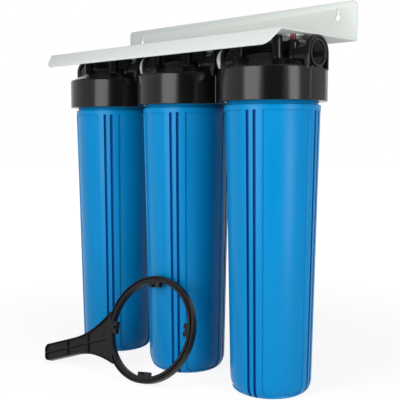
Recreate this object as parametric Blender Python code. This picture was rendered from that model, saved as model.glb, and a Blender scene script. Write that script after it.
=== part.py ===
"""Three-stage water filter housing set on its wall bracket, with the ring wrench for its sumps.

Metres, +Z up. The row runs along X, the bracket's wall side faces +Y, and the origin is the
middle of the flat foot of the middle sump. Each stage is a head, a sump that screws into it
from below, and a cartridge held between the two.
"""
import math

import bmesh
import bpy
from mathutils import Matrix, Vector

# Clearances and cutter overrun
GAP = 0.0003
OVERRUN = 0.003
ROOT = 0.001

# The row
STAGES = ("left", "middle", "right")
HEAD_SPACING = 0.016
ROUND_SIDES = 36
NECK_SIDES = 32
MIDDLE_SIDES = 20
SMALL_SIDES = 10
BOLT_SIDES = 6

# Cartridge
CARTRIDGE_LENGTH = 0.508
CARTRIDGE_RADIUS = 0.057
END_CAP_THICKNESS = 0.004
END_CAP_COLLAR_LENGTH = 0.008
END_CAP_COLLAR_WALL = 0.0015
CORE_WALL = 0.0015

# Sump
SEAT_HEIGHT = 0.0204
SEAT_RADIUS = 0.026
SEAT_DRAFT = 0.002
SUMP_FLOOR = 0.006
SUMP_SPIGOT_RADIUS = 0.012
SUMP_SPIGOT_LENGTH = 0.008
FOOT_WALL = 0.006
SHOULDER_STEP = 0.0043
SUMP_CORNER_HEIGHT = 0.025
SUMP_CORNER_WIDTH = 0.0135
CORNER_STEPS = 3
WATER_GAP = 0.0075
INNER_CORNER_WIDTH = 0.014
INNER_CORNER_HEIGHT = 0.018
RIM_CLEARANCE = 0.0115
RIM_WALL = 0.008
CARTRIDGE_ABOVE_SHOULDER = 0.045
COLLAR_HEIGHT = 0.008
COLLAR_STEP = 0.0012
NECK_HEIGHT = 0.037
NECK_SHOWING = 0.0055
RIB_SETS = 4
RIB_HEIGHT = 0.002
RIB_BAND_WIDTH = 0.0366
RIB_GROOVE_SPACING = 0.0132
RIB_GROOVE_WIDTH = 0.0027
RIB_GROOVE_DEPTH = 0.0038
RIB_FLANK_WIDTH = 0.0006
PANEL_STEPS = 5
RIB_TURN_DEGREES = {"left": 37.7, "middle": 27.8, "right": 12.3}

# Screw thread between sump and head
THREAD_PITCH = 0.006
THREAD_TURNS = 2.5
THREAD_HEIGHT = 0.002
THREAD_ROOT_WIDTH = 0.0034
THREAD_CREST_WIDTH = 0.0014
THREAD_CLEARANCE = 0.0007
THREAD_RUN_IN = 0.004
THREAD_STEPS_PER_TURN = 16

# Rim seal
SEAL_SECTION = 0.0035
SEAL_PROUD = 0.0008
SEAL_SIDES = 24
SEAL_SECTION_SIDES = 5

# Head
HEAD_WALL = 0.0123
PORT_FACE_PROUD = 0.0005
HEAD_RING_HEIGHT = 0.055
HEAD_EDGE = 0.004
HEAD_TOP_WALL = 0.0075
DOME_SHOULDER_RADIUS = 0.047
DOME_SHOULDER_RISE = 0.0205
DOME_TOP_RADIUS = 0.030
DOME_RISE = 0.0265
SEAL_LAND_WIDTH = 0.0122
PORT_RISE = 0.0201
PORT_RADIUS = 0.0169
PORT_DEPTH = 0.024
PORT_BOSS_RADIUS = 0.0222
CHANNEL_RADIUS = 0.011
INLET_DROP_INSET = 0.042
PIPE_RADIUS = 0.024
BARREL_RADIUS = 0.027
BARREL_LENGTH = 0.027
BARREL_END = 0.008
BARREL_END_DROP = 0.006
END_PLATE_HALF_WIDTH = 0.028
END_PLATE_THICKNESS = 0.008
ARCH_STEPS = 10
FACE_RIM_WIDTH = 0.0034
FACE_RECESS = 0.003
FACE_RECESS_DROP = 0.024
POCKET_DEPTH = 0.0065
POCKET_WIDTH = 0.009
POCKET_HEIGHT = 0.009
TUBE_RADIUS = 0.020
TUBE_BORE_RADIUS = 0.009
SPIGOT_RADIUS = 0.0125
SPIGOT_LENGTH = 0.008
SPIGOT_CLEARANCE = 0.001

# Bolts and the pillars that they screw into
PILLAR_RADIUS = 0.0085
PILLAR_SPREAD = 0.078
BOLT_RADIUS = 0.003
BOLT_LENGTH = 0.018
BOLT_HOLE_DEPTH = 0.022
BOLT_FLANGE_RADIUS = 0.0075
BOLT_FLANGE_THICKNESS = 0.0012
BOLT_HEX_RADIUS = 0.0055
BOLT_HEX_HEIGHT = 0.0045
BOLT_CLEARANCE = 0.0004

# Pressure relief button
RELIEF_INSET = 0.011
RELIEF_Y = -0.020
RELIEF_BOSS_RADIUS = 0.0085
RELIEF_BOSS_RISE = 0.041
RELIEF_WELL_RISE = 0.020
RELIEF_BUTTON_RADIUS = 0.005
RELIEF_BUTTON_CLEARANCE = 0.0005
RELIEF_BUTTON_PROUD = 0.006
RELIEF_BUTTON_EDGE = 0.001
RELIEF_STEM_RADIUS = 0.0023
RELIEF_STEM_CLEARANCE = 0.0004
RELIEF_FLANGE_RADIUS = 0.004
RELIEF_FLANGE_THICKNESS = 0.002
RELIEF_SEAL_RADIUS = 0.0055
RELIEF_SEAL_THICKNESS = 0.0032
SPRING_LENGTH = 0.0135
SPRING_WIRE_RADIUS = 0.0004
SPRING_MEAN_RADIUS = 0.0038
SPRING_TURNS = 4
SPRING_STEPS_PER_TURN = 8
SPRING_WIRE_SIDES = 4

# Bracket
SHEET = 0.0025
BEND_RADIUS = 0.003
BEND_STEPS = 2
BRACKET_SHORT_OF_PORT = 0.0035
SHELF_PAST_HEAD = 0.0022
WALL_CLEARANCE = 0.025
PLATE_RISE = 0.0695
PLATE_CORNER = 0.009
FLANGE_FORWARD = 0.021
FLANGE_DROP = 0.0248
FLANGE_TAPER = 0.012
FLANGE_CORNER = 0.013
CORNER_ARC_STEPS = 4
KEYHOLE_INSET = 0.0385
KEYHOLE_RISE = 0.043
KEYHOLE_RADIUS = 0.005
KEYHOLE_SLOT_WIDTH = 0.0046
KEYHOLE_SLOT_RISE = 0.0125
SHELF_HOLE_CLEARANCE = 0.0005
RELIEF_HOLE_CLEARANCE = 0.0115

# Nipple between two heads
NIPPLE_COLLAR_RADIUS = 0.0203
NIPPLE_EDGE = 0.0015
NIPPLE_REACH = 0.019
NIPPLE_BORE_RADIUS = 0.0115

# Wrench
WRENCH_FIT = 0.0027
WRENCH_RING_WALL = 0.0115
WRENCH_DEPTH = 0.013
WRENCH_RING_SIDES = 48
WRENCH_LUG_REACH = 0.0065
WRENCH_LUG_WIDTH = 0.020
WRENCH_LUG_DEPTH = 0.011
WRENCH_LUG_OFFSET_DEGREES = -12.4
WRENCH_REACH = 0.2495
WRENCH_END_HALF_WIDTH = 0.0158
WRENCH_ROOT_HALF_WIDTH = 0.049
WRENCH_END_CORNER = 0.009
WRENCH_FLARE_STEPS = 6
WRENCH_FLARE_SHARE = 0.55
WRENCH_WEB = 0.005
WRENCH_RIB = 0.0022
WRENCH_CROSS_SHARES = (0.30, 0.64)
WRENCH_LEAN_DEGREES = 20.4
WRENCH_YAW_DEGREES = 7.6
WRENCH_X = 0.0190
WRENCH_CLEARANCE = 0.001

# Heights and places that follow
CARTRIDGE_BOTTOM = SEAT_HEIGHT + GAP
CARTRIDGE_TOP = CARTRIDGE_BOTTOM + CARTRIDGE_LENGTH
TUBE_END = CARTRIDGE_TOP + GAP
SHOULDER_Z = TUBE_END - CARTRIDGE_ABOVE_SHOULDER
RIM_Z = SHOULDER_Z + NECK_HEIGHT
RIM_INNER_RADIUS = CARTRIDGE_RADIUS + RIM_CLEARANCE
NECK_RADIUS = RIM_INNER_RADIUS + RIM_WALL
FLOOR_INNER_RADIUS = CARTRIDGE_RADIUS + WATER_GAP
SUMP_BASE_RADIUS = FLOOR_INNER_RADIUS + FOOT_WALL
SUMP_SHOULDER_RADIUS = NECK_RADIUS + SHOULDER_STEP
THREAD_CREST_RADIUS = NECK_RADIUS + THREAD_HEIGHT
THREAD_DROP = THREAD_PITCH * THREAD_TURNS
HEAD_BOTTOM = SHOULDER_Z + NECK_SHOWING
HEAD_RING_TOP = HEAD_BOTTOM + HEAD_RING_HEIGHT
HEAD_BORE_RADIUS = THREAD_CREST_RADIUS + THREAD_CLEARANCE
HEAD_RADIUS = HEAD_BORE_RADIUS + HEAD_WALL
SEAL_LAND_Z = RIM_Z + SEAL_PROUD + GAP
CHAMBER_RADIUS = HEAD_BORE_RADIUS - SEAL_LAND_WIDTH
CHAMBER_TOP = HEAD_RING_TOP - HEAD_TOP_WALL
PORT_Z = HEAD_RING_TOP + PORT_RISE
PORT_FACE = HEAD_RADIUS + PORT_FACE_PROUD
PORT_TO_PORT = 2 * PORT_FACE
HOUSING_PITCH = PORT_TO_PORT + HEAD_SPACING
HEAD_SEAT_Z = PORT_Z + END_PLATE_HALF_WIDTH
SHELF_UNDER = HEAD_SEAT_Z + GAP
SHELF_TOP = SHELF_UNDER + SHEET
BRACKET_HALF_LENGTH = HOUSING_PITCH + PORT_FACE - BRACKET_SHORT_OF_PORT
SHELF_FRONT = -(HEAD_RADIUS + SHELF_PAST_HEAD)
PLATE_FACE = HEAD_RADIUS + WALL_CLEARANCE
PLATE_BACK = PLATE_FACE + SHEET
PLATE_TOP = SHELF_UNDER + PLATE_RISE
RELIEF_X = CHAMBER_RADIUS - RELIEF_INSET
RELIEF_WELL_Z = HEAD_RING_TOP + RELIEF_WELL_RISE
RELIEF_CAP_Z = RELIEF_WELL_Z + SPRING_LENGTH + GAP + GAP
RELIEF_TOP_Z = SHELF_TOP + RELIEF_BUTTON_PROUD
WRENCH_RING_RADIUS = SUMP_SHOULDER_RADIUS + WRENCH_FIT + WRENCH_RING_WALL

STAGE_X = {name: (place - (len(STAGES) - 1) / 2) * HOUSING_PITCH for place, name in enumerate(STAGES)}

# Colours: red, green, blue, then roughness and metallic
FINISHES = {
    "bracket_paint": ((0.70, 0.73, 0.70), 0.45, 0.0),
    "head_plastic": ((0.030, 0.030, 0.030), 0.35, 0.0),
    "sump_plastic": ((0.010, 0.220, 0.620), 0.30, 0.0),
    "seal_rubber": ((0.020, 0.020, 0.020), 0.70, 0.0),
    "button_red": ((0.500, 0.020, 0.030), 0.40, 0.0),
    "spring_steel": ((0.600, 0.600, 0.620), 0.30, 1.0),
    "bolt_steel": ((0.550, 0.560, 0.580), 0.35, 1.0),
    "nipple_plastic": ((0.760, 0.770, 0.760), 0.45, 0.0),
    "media_white": ((0.850, 0.840, 0.800), 0.90, 0.0),
    "media_black": ((0.030, 0.030, 0.032), 0.85, 0.0),
    "end_cap_plastic": ((0.800, 0.800, 0.780), 0.50, 0.0),
    "wrench_plastic": ((0.022, 0.022, 0.024), 0.45, 0.0),
}


def clear_scene():
    """Removes what a new Blender file holds."""
    for thing in list(bpy.data.objects):
        bpy.data.objects.remove(thing, do_unlink=True)


def make_finishes():
    """One Principled material for each finish."""
    for name, (colour, roughness, metallic) in FINISHES.items():
        finish = bpy.data.materials.new(name)
        finish.use_nodes = True
        shader = finish.node_tree.nodes["Principled BSDF"]
        shader.inputs["Base Color"].default_value = (*colour, 1.0)
        shader.inputs["Roughness"].default_value = roughness
        shader.inputs["Metallic"].default_value = metallic
        finish.diffuse_color = (*colour, 1.0)


def add_object(name, mesh, place=(0, 0, 0)):
    """Puts a mesh in the scene under a name."""
    thing = bpy.data.objects.new(name, mesh)
    thing.location = place
    bpy.context.scene.collection.objects.link(thing)
    return thing


def mesh_from(bm, name):
    """Turns a bmesh into a mesh with its faces pointing out."""
    bmesh.ops.recalc_face_normals(bm, faces=bm.faces)
    mesh = bpy.data.meshes.new(name)
    bm.to_mesh(mesh)
    bm.free()
    return mesh


def skin(rings, closed_loop=False):
    """Joins rings of points, all of one length, into a bmesh; flat faces close the two ends."""
    bm = bmesh.new()
    rows = [[bm.verts.new(point) for point in ring] for ring in rings]
    pairs = list(zip(rows, rows[1:]))
    if closed_loop:
        pairs.append((rows[-1], rows[0]))
    for low, high in pairs:
        for here in range(len(low)):
            after = (here + 1) % len(low)
            bm.faces.new((low[here], low[after], high[after], high[here]))
    if not closed_loop:
        bm.faces.new(rows[0])
        bm.faces.new(rows[-1])
    return bm


def circle(radius, height, sides, centre=(0, 0)):
    """Points round a level circle."""
    turn = 2 * math.pi / sides
    return [(centre[0] + radius * math.cos(turn * side), centre[1] + radius * math.sin(turn * side), height)
            for side in range(sides)]


def turned(name, profile, sides, centre=(0, 0), closed_loop=False):
    """A solid of revolution about a vertical axis, from (radius, height) points."""
    rings = [circle(radius, height, sides, centre) for radius, height in profile]
    return add_object(name, mesh_from(skin(rings, closed_loop), name))


def prism(name, outline, low, high, matrix=None):
    """An outline in X and Y, raised from low to high, then turned and placed by a matrix."""
    rings = [[(x, y, level) for x, y in outline] for level in (low, high)]
    bm = skin(rings)
    if matrix is not None:
        bmesh.ops.transform(bm, matrix=matrix, verts=bm.verts)
    return add_object(name, mesh_from(bm, name))


def along_x(name, radius, low, high, sides=MIDDLE_SIDES):
    """A round bar along X at the height of the ports."""
    turn = 2 * math.pi / sides
    section = [(radius * math.cos(turn * side), PORT_Z + radius * math.sin(turn * side))
               for side in range(sides)]
    return add_object(name, mesh_from(skin([[(x, *point) for point in section] for x in (low, high)]), name))


def swept(name, centres, section):
    """A section of (outward, upward) offsets carried round a coil of (angle, radius, height) points."""
    rings = []
    for step, (angle, radius, height) in enumerate(centres):
        out = Vector((math.cos(angle), math.sin(angle), 0))
        rings.append([out * (radius + outward) + Vector((0, 0, height + upward))
                      for outward, upward in section(step)])
    return add_object(name, mesh_from(skin(rings), name))


def rounded(corners, radii, steps):
    """A closed outline with each corner turned into an arc of its own radius."""
    points = []
    for place, (corner, radius) in enumerate(zip(corners, radii)):
        here = Vector(corner)
        if radius == 0:
            points.append(here)
            continue
        back = (Vector(corners[place - 1]) - here).normalized()
        ahead = (Vector(corners[(place + 1) % len(corners)]) - here).normalized()
        half = back.angle(ahead) / 2
        middle = here + (back + ahead).normalized() * (radius / math.sin(half))
        start = here + back * (radius / math.tan(half)) - middle
        end = here + ahead * (radius / math.tan(half)) - middle
        sweep = start.angle_signed(end)
        points += [middle + Matrix.Rotation(-sweep * step / steps, 2) @ start for step in range(steps + 1)]
    return [tuple(point) for point in points]


def combine(base, others, operation):
    """Applies one exact Boolean for each other shape and leaves the base alone in the scene."""
    for other in others:
        step = base.modifiers.new(operation, "BOOLEAN")
        step.operation = operation
        step.solver = "EXACT"
        step.object = other
    bpy.context.view_layer.update()
    result = bpy.data.meshes.new_from_object(base.evaluated_get(bpy.context.evaluated_depsgraph_get()))
    base.modifiers.clear()
    base.data = result
    for other in others:
        bpy.data.objects.remove(other, do_unlink=True)
    return base


def finish_piece(piece, finish, smooth_degrees=35):
    """Gives a piece its material and smooth round faces."""
    piece.data.materials.clear()
    piece.data.materials.append(bpy.data.materials[finish])
    piece.data.shade_smooth()
    piece.data.set_sharp_from_angle(angle=math.radians(smooth_degrees))
    return piece


def copy_along_row(first, base_name, with_sumps=False):
    """Puts a piece modelled for x = 0 at each stage, and turns it as the sumps are if asked."""
    for stage in STAGES:
        piece = add_object(f"{base_name}_{stage}", first.data, (STAGE_X[stage], 0, 0))
        if with_sumps:
            piece.rotation_euler.z = math.radians(RIB_TURN_DEGREES[stage]) - math.pi / 2
    bpy.data.objects.remove(first, do_unlink=True)


# Sump
def band_radius(height):
    """Outer radius of a sump's rib bands at a height above its foot."""
    level = max(height, SUMP_CORNER_HEIGHT)
    radius = SUMP_BASE_RADIUS + (SUMP_SHOULDER_RADIUS - SUMP_BASE_RADIUS) * level / SHOULDER_Z
    if height >= SUMP_CORNER_HEIGHT:
        return radius
    drop = 1 - max(height, 0) / SUMP_CORNER_HEIGHT
    return radius - SUMP_CORNER_WIDTH * (1 - math.sqrt(1 - drop * drop))


def rib_pattern():
    """Angles round a sump, each with how far its point lies inside the rib bands."""
    half_band = RIB_BAND_WIDTH / 2
    groove = RIB_GROOVE_SPACING / 2
    half_groove = RIB_GROOVE_WIDTH / 2
    side = [(groove - half_groove - RIB_FLANK_WIDTH, 0), (groove - half_groove, RIB_GROOVE_DEPTH),
            (groove + half_groove, RIB_GROOVE_DEPTH), (groove + half_groove + RIB_FLANK_WIDTH, 0),
            (half_band, 0), (half_band + RIB_FLANK_WIDTH, RIB_HEIGHT)]
    quarter = 2 * math.pi / RIB_SETS
    edge = side[-1][0] / SUMP_SHOULDER_RADIUS
    panel = [(edge + (quarter - 2 * edge) * step / PANEL_STEPS, RIB_HEIGHT) for step in range(1, PANEL_STEPS)]
    one = [(-place / SUMP_SHOULDER_RADIUS, depth) for place, depth in reversed(side)]
    one += [(place / SUMP_SHOULDER_RADIUS, depth) for place, depth in side] + panel
    return [(quarter * number + angle, depth) for number in range(RIB_SETS) for angle, depth in one]


def sump_rows():
    """Heights up the outside of a sump, each with the share of the ribs' relief there."""
    rows = []
    for step in range(CORNER_STEPS + 1):
        angle = math.pi / 2 * step / CORNER_STEPS
        rows.append((SUMP_CORNER_HEIGHT * (1 - math.cos(angle)), math.sin(angle)))
    panel_top = SHOULDER_Z - COLLAR_HEIGHT
    return rows + [(panel_top, 1), (panel_top + COLLAR_STEP, 0), (SHOULDER_Z, 0)]


def thread_ridge(name):
    """The sump's right-handed thread: one ridge that fades out at both ends."""
    count = round(THREAD_TURNS * THREAD_STEPS_PER_TURN)
    start = RIM_Z - THREAD_RUN_IN - THREAD_ROOT_WIDTH - THREAD_DROP
    centres = [(2 * math.pi * THREAD_TURNS * step / count, NECK_RADIUS, start + THREAD_DROP * step / count)
               for step in range(count + 1)]

    def section(step):
        """The ridge's cross-section, low at its two ends."""
        height = THREAD_HEIGHT if 0 < step < count else 0
        return [(-ROOT, -THREAD_ROOT_WIDTH / 2), (height, -THREAD_CREST_WIDTH / 2),
                (height, THREAD_CREST_WIDTH / 2), (-ROOT, THREAD_ROOT_WIDTH / 2)]

    return swept(name, centres, section)


def cavity_profile():
    """Half section of the space inside a sump, round the seat and spigot that hold the cartridge."""
    top = RIM_Z + OVERRUN
    spigot_top = SEAT_HEIGHT + SUMP_SPIGOT_LENGTH
    return [(0, spigot_top), (SUMP_SPIGOT_RADIUS, spigot_top), (SUMP_SPIGOT_RADIUS, SEAT_HEIGHT),
            (SEAT_RADIUS, SEAT_HEIGHT), (SEAT_RADIUS + SEAT_DRAFT, SUMP_FLOOR),
            (FLOOR_INNER_RADIUS - INNER_CORNER_WIDTH, SUMP_FLOOR),
            (FLOOR_INNER_RADIUS, SUMP_FLOOR + INNER_CORNER_HEIGHT),
            (RIM_INNER_RADIUS, RIM_Z), (RIM_INNER_RADIUS, top), (0, top)]


def revolve(name, profile, sides):
    """A solid of revolution whose profile starts and ends on the axis."""
    bm = bmesh.new()
    turn = 2 * math.pi / sides
    rings = [[bm.verts.new((radius * math.cos(turn * side), radius * math.sin(turn * side), height))
              for side in range(sides)] for radius, height in profile[1:-1]]
    for low, high in zip(rings, rings[1:]):
        for side in range(sides):
            after = (side + 1) % sides
            bm.faces.new((low[side], low[after], high[after], high[side]))
    for ring, (_, height) in ((rings[0], profile[0]), (rings[-1], profile[-1])):
        if ring[0].co.z == height:
            bm.faces.new(ring)
            continue
        pole = bm.verts.new((0, 0, height))
        for side in range(sides):
            bm.faces.new((ring[side], ring[(side + 1) % sides], pole))
    return add_object(name, mesh_from(bm, name))


def make_sumps():
    """The three blue sumps, each turned so that its ribs stand as photographed."""
    pattern = rib_pattern()
    rings = []
    for height, relief_share in sump_rows():
        radius = band_radius(min(height, SHOULDER_Z - COLLAR_HEIGHT + COLLAR_STEP))
        ring = [(radius - depth * relief_share, angle) for angle, depth in pattern]
        rings.append([(reach * math.cos(angle), reach * math.sin(angle), height) for reach, angle in ring])
    body = add_object("sump", mesh_from(skin(rings), "sump"))
    neck = turned("neck", [(NECK_RADIUS, SHOULDER_Z - COLLAR_HEIGHT), (NECK_RADIUS, RIM_Z)], NECK_SIDES)
    combine(body, [neck, thread_ridge("thread")], "UNION")
    middle = (RIM_INNER_RADIUS + NECK_RADIUS) / 2
    inner, outer = middle - SEAL_SECTION / 2 - GAP, middle + SEAL_SECTION / 2 + GAP
    low, high = RIM_Z + SEAL_PROUD - SEAL_SECTION - GAP, RIM_Z + OVERRUN
    groove = turned("seal_groove", [(inner, low), (outer, low), (outer, high), (inner, high)],
                    SEAL_SIDES, closed_loop=True)
    combine(body, [revolve("cavity", cavity_profile(), MIDDLE_SIDES), groove], "DIFFERENCE")
    copy_along_row(finish_piece(body, "sump_plastic"), "sump", with_sumps=True)


def make_rim_seals():
    """The ring seal in the rim of each sump."""
    middle = (RIM_INNER_RADIUS + NECK_RADIUS) / 2
    half = SEAL_SECTION / 2
    height = RIM_Z + SEAL_PROUD - half
    turn = 2 * math.pi / SEAL_SECTION_SIDES
    profile = [(middle + half * math.cos(turn * side), height + half * math.sin(turn * side))
               for side in range(SEAL_SECTION_SIDES)]
    seal = turned("rim_seal", profile, SEAL_SIDES, closed_loop=True)
    copy_along_row(finish_piece(seal, "seal_rubber"), "rim_seal", with_sumps=True)


# Cartridge
def make_cartridges():
    """Filter media, core and two end caps for each stage."""
    hole = SPIGOT_RADIUS + SPIGOT_CLEARANCE
    collar = hole + END_CAP_COLLAR_WALL
    core_inner = collar + GAP
    core_outer = core_inner + CORE_WALL
    low = CARTRIDGE_BOTTOM + END_CAP_THICKNESS + GAP
    high = CARTRIDGE_TOP - END_CAP_THICKNESS - GAP
    media = turned("media", [(core_outer + GAP, low), (CARTRIDGE_RADIUS, low), (CARTRIDGE_RADIUS, high),
                             (core_outer + GAP, high)], MIDDLE_SIDES, closed_loop=True)
    core = turned("core", [(core_inner, low), (core_outer, low), (core_outer, high), (core_inner, high)],
                  MIDDLE_SIDES, closed_loop=True)
    finish_piece(core, "end_cap_plastic")
    for stage in STAGES:
        filling = add_object(f"media_{stage}", media.data.copy(), (STAGE_X[stage], 0, 0))
        finish_piece(filling, "media_black" if stage == "middle" else "media_white")
    bpy.data.objects.remove(media, do_unlink=True)
    copy_along_row(core, "core")
    for name, face, inward in (("end_cap_bottom", CARTRIDGE_BOTTOM, 1), ("end_cap_top", CARTRIDGE_TOP, -1)):
        plate = face + inward * END_CAP_THICKNESS
        tip = plate + inward * END_CAP_COLLAR_LENGTH
        cap = turned(name, [(hole, face), (CARTRIDGE_RADIUS, face), (CARTRIDGE_RADIUS, plate),
                            (collar, plate), (collar, tip), (hole, tip)], MIDDLE_SIDES, closed_loop=True)
        copy_along_row(finish_piece(cap, "end_cap_plastic"), name)


# Head
def arch(half_width, low):
    """The outline of an end plate: straight sides up to the ports' height, and a half round top."""
    angles = [math.pi * step / ARCH_STEPS for step in range(ARCH_STEPS + 1)]
    top = [(half_width * math.cos(angle), PORT_Z + half_width * math.sin(angle)) for angle in angles]
    return [(-half_width, low), (half_width, low)] + top


def facing_x(side):
    """Turns an outline's X and Y into the part's Y and Z, and its depth to run out along X."""
    return Matrix(((0, 0, side, 0), (1, 0, 0, 0), (0, 1, 0, 0), (0, 0, 0, 1)))


def pillar_places():
    """Where the four bolts go in a head."""
    return [(x * PILLAR_SPREAD / 2, y * PILLAR_SPREAD / 2) for x in (-1, 1) for y in (-1, 1)]


def cut_end_face(head, side):
    """Cuts the recess round a port, inside the raised rim, then its two deeper corners."""
    floor = PORT_FACE - FACE_RECESS
    inner = END_PLATE_HALF_WIDTH - FACE_RIM_WIDTH
    low = PORT_Z - FACE_RECESS_DROP
    recess = prism("recess", arch(inner, low), floor, PORT_FACE + OVERRUN, facing_x(side))
    ends = sorted((side * (floor - OVERRUN), side * (PORT_FACE + 2 * OVERRUN)))
    combine(head, [combine(recess, [along_x("boss", PORT_BOSS_RADIUS, *ends)], "DIFFERENCE")], "DIFFERENCE")
    deep = PORT_FACE - POCKET_DEPTH
    ends = sorted((side * (deep - OVERRUN), side * (floor + 2 * OVERRUN)))
    for hand in (-1, 1):
        outer, near = hand * (inner - ROOT), hand * (inner - POCKET_WIDTH)
        foot, top = low + ROOT, low + POCKET_HEIGHT
        outline = [(outer, foot), (near, foot), (near, top), (outer, top)]
        pocket = prism("pocket", outline, deep, floor + OVERRUN, facing_x(side))
        combine(pocket, [along_x("boss", PORT_BOSS_RADIUS + ROOT, *ends)], "DIFFERENCE")
        combine(head, [pocket], "DIFFERENCE")


def cut_passages(head):
    """Cuts the port bores, the inlet's drop, the outlet's rise, the bolt holes and the relief well."""
    top = HEAD_SEAT_Z + OVERRUN
    shoulder = PORT_FACE - PORT_DEPTH
    drop_x = -(PORT_FACE - INLET_DROP_INSET)
    outlet = along_x("outlet", CHANNEL_RADIUS, -ROOT, shoulder + OVERRUN, SMALL_SIDES)
    inlet = along_x("inlet", CHANNEL_RADIUS, -shoulder - OVERRUN, drop_x + ROOT, SMALL_SIDES)
    combine(head, [outlet, inlet], "DIFFERENCE")
    combine(head, [along_x("port", PORT_RADIUS, shoulder, PORT_FACE + OVERRUN),
                   along_x("port", PORT_RADIUS, -PORT_FACE - OVERRUN, -shoulder)], "DIFFERENCE")
    bore, low = TUBE_BORE_RADIUS, CHAMBER_TOP - OVERRUN
    inlet_drop = turned("inlet_drop", [(bore, low), (bore, PORT_Z)], SMALL_SIDES, (drop_x, 0))
    low = TUBE_END - SPIGOT_LENGTH - OVERRUN
    combine(head, [inlet_drop, turned("tube_bore", [(bore, low), (bore, PORT_Z)], SMALL_SIDES)], "DIFFERENCE")
    hole = BOLT_RADIUS + BOLT_CLEARANCE
    well = RELIEF_BUTTON_RADIUS + RELIEF_BUTTON_CLEARANCE
    stem = RELIEF_STEM_RADIUS + RELIEF_STEM_CLEARANCE
    holes = [turned("bolt_hole", [(hole, HEAD_SEAT_Z - BOLT_HOLE_DEPTH), (hole, top)], BOLT_SIDES, place)
             for place in pillar_places()]
    holes.append(turned("well", [(stem, CHAMBER_TOP - OVERRUN), (stem, RELIEF_WELL_Z), (well, RELIEF_WELL_Z),
                                 (well, top)], SMALL_SIDES, (RELIEF_X, RELIEF_Y)))
    combine(head, holes, "DIFFERENCE")


def port_barrel(side, inner):
    """The wider stretch of pipe behind a port, narrowing at its inner end; its top stays under the pipe's."""
    turn = 2 * math.pi / MIDDLE_SIDES
    rings = []
    for reach, radius in ((inner + ROOT, BARREL_RADIUS), (inner - BARREL_LENGTH, BARREL_RADIUS),
                          (inner - BARREL_LENGTH - BARREL_END, BARREL_RADIUS - BARREL_END_DROP)):
        rings.append([(side * reach, radius * math.cos(turn * step),
                       PORT_Z + PIPE_RADIUS - BARREL_RADIUS - ROOT + radius * math.sin(turn * step))
                      for step in range(MIDDLE_SIDES)])
    return add_object("barrel", mesh_from(skin(rings), "barrel"))


def make_heads():
    """The three black heads, with their ports in one line."""
    edge = HEAD_EDGE * (1 - math.sqrt(0.5))
    head = turned("head", [(HEAD_RADIUS, HEAD_BOTTOM), (HEAD_RADIUS, HEAD_RING_TOP - HEAD_EDGE),
                           (HEAD_RADIUS - edge, HEAD_RING_TOP - edge),
                           (HEAD_RADIUS - HEAD_EDGE, HEAD_RING_TOP),
                           (DOME_SHOULDER_RADIUS, HEAD_RING_TOP + DOME_SHOULDER_RISE),
                           (DOME_TOP_RADIUS, HEAD_RING_TOP + DOME_RISE)], ROUND_SIDES)
    inner = PORT_FACE - END_PLATE_THICKNESS
    shapes = [along_x("pipe", PIPE_RADIUS, -inner - ROOT, inner + ROOT)]
    plate = arch(END_PLATE_HALF_WIDTH, HEAD_BOTTOM)
    for side in (-1, 1):
        shapes.append(prism("end_plate", plate, inner, PORT_FACE, facing_x(side)))
        shapes.append(port_barrel(side, inner))
    for place in pillar_places():
        shapes.append(turned("pillar", [(PILLAR_RADIUS, HEAD_RING_TOP - ROOT), (PILLAR_RADIUS, HEAD_SEAT_Z)],
                             SMALL_SIDES, place))
    shapes.append(turned("relief_boss", [(RELIEF_BOSS_RADIUS, HEAD_RING_TOP - ROOT),
                                         (RELIEF_BOSS_RADIUS, HEAD_RING_TOP + RELIEF_BOSS_RISE)],
                         SMALL_SIDES, (RELIEF_X, RELIEF_Y)))
    combine(head, shapes, "UNION")
    bore = turned("bore", [(HEAD_BORE_RADIUS, HEAD_BOTTOM - OVERRUN), (HEAD_BORE_RADIUS, SEAL_LAND_Z),
                           (CHAMBER_RADIUS, SEAL_LAND_Z), (CHAMBER_RADIUS, CHAMBER_TOP)], ROUND_SIDES)
    combine(head, [bore], "DIFFERENCE")
    tube = turned("tube", [(SPIGOT_RADIUS, TUBE_END - SPIGOT_LENGTH), (SPIGOT_RADIUS, TUBE_END),
                           (TUBE_RADIUS, TUBE_END), (TUBE_RADIUS, CHAMBER_TOP + ROOT)], MIDDLE_SIDES)
    combine(head, [tube], "UNION")
    for side in (-1, 1):
        cut_end_face(head, side)
    cut_passages(head)
    copy_along_row(finish_piece(head, "head_plastic"), "head")


def make_nipples():
    """The short threaded pipes that join neighbouring heads, with a collar between the two faces."""
    half = (HOUSING_PITCH - PORT_TO_PORT) / 2 - GAP
    reach = half + NIPPLE_REACH
    thread = PORT_RADIUS - GAP
    edge = NIPPLE_COLLAR_RADIUS - NIPPLE_EDGE
    profile = [(NIPPLE_BORE_RADIUS, -reach), (thread, -reach), (thread, -half), (edge, -half),
               (NIPPLE_COLLAR_RADIUS, NIPPLE_EDGE - half), (NIPPLE_COLLAR_RADIUS, half - NIPPLE_EDGE),
               (edge, half), (thread, half), (thread, reach), (NIPPLE_BORE_RADIUS, reach)]
    nipple = turned("nipple", profile, MIDDLE_SIDES, closed_loop=True)
    nipple.data.transform(Matrix.Rotation(math.pi / 2, 4, "Y"))
    finish_piece(nipple, "nipple_plastic")
    for before, after in zip(STAGES, STAGES[1:]):
        middle = (STAGE_X[before] + STAGE_X[after]) / 2
        add_object(f"nipple_{before}_to_{after}", nipple.data, (middle, 0, PORT_Z))
    bpy.data.objects.remove(nipple, do_unlink=True)


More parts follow.
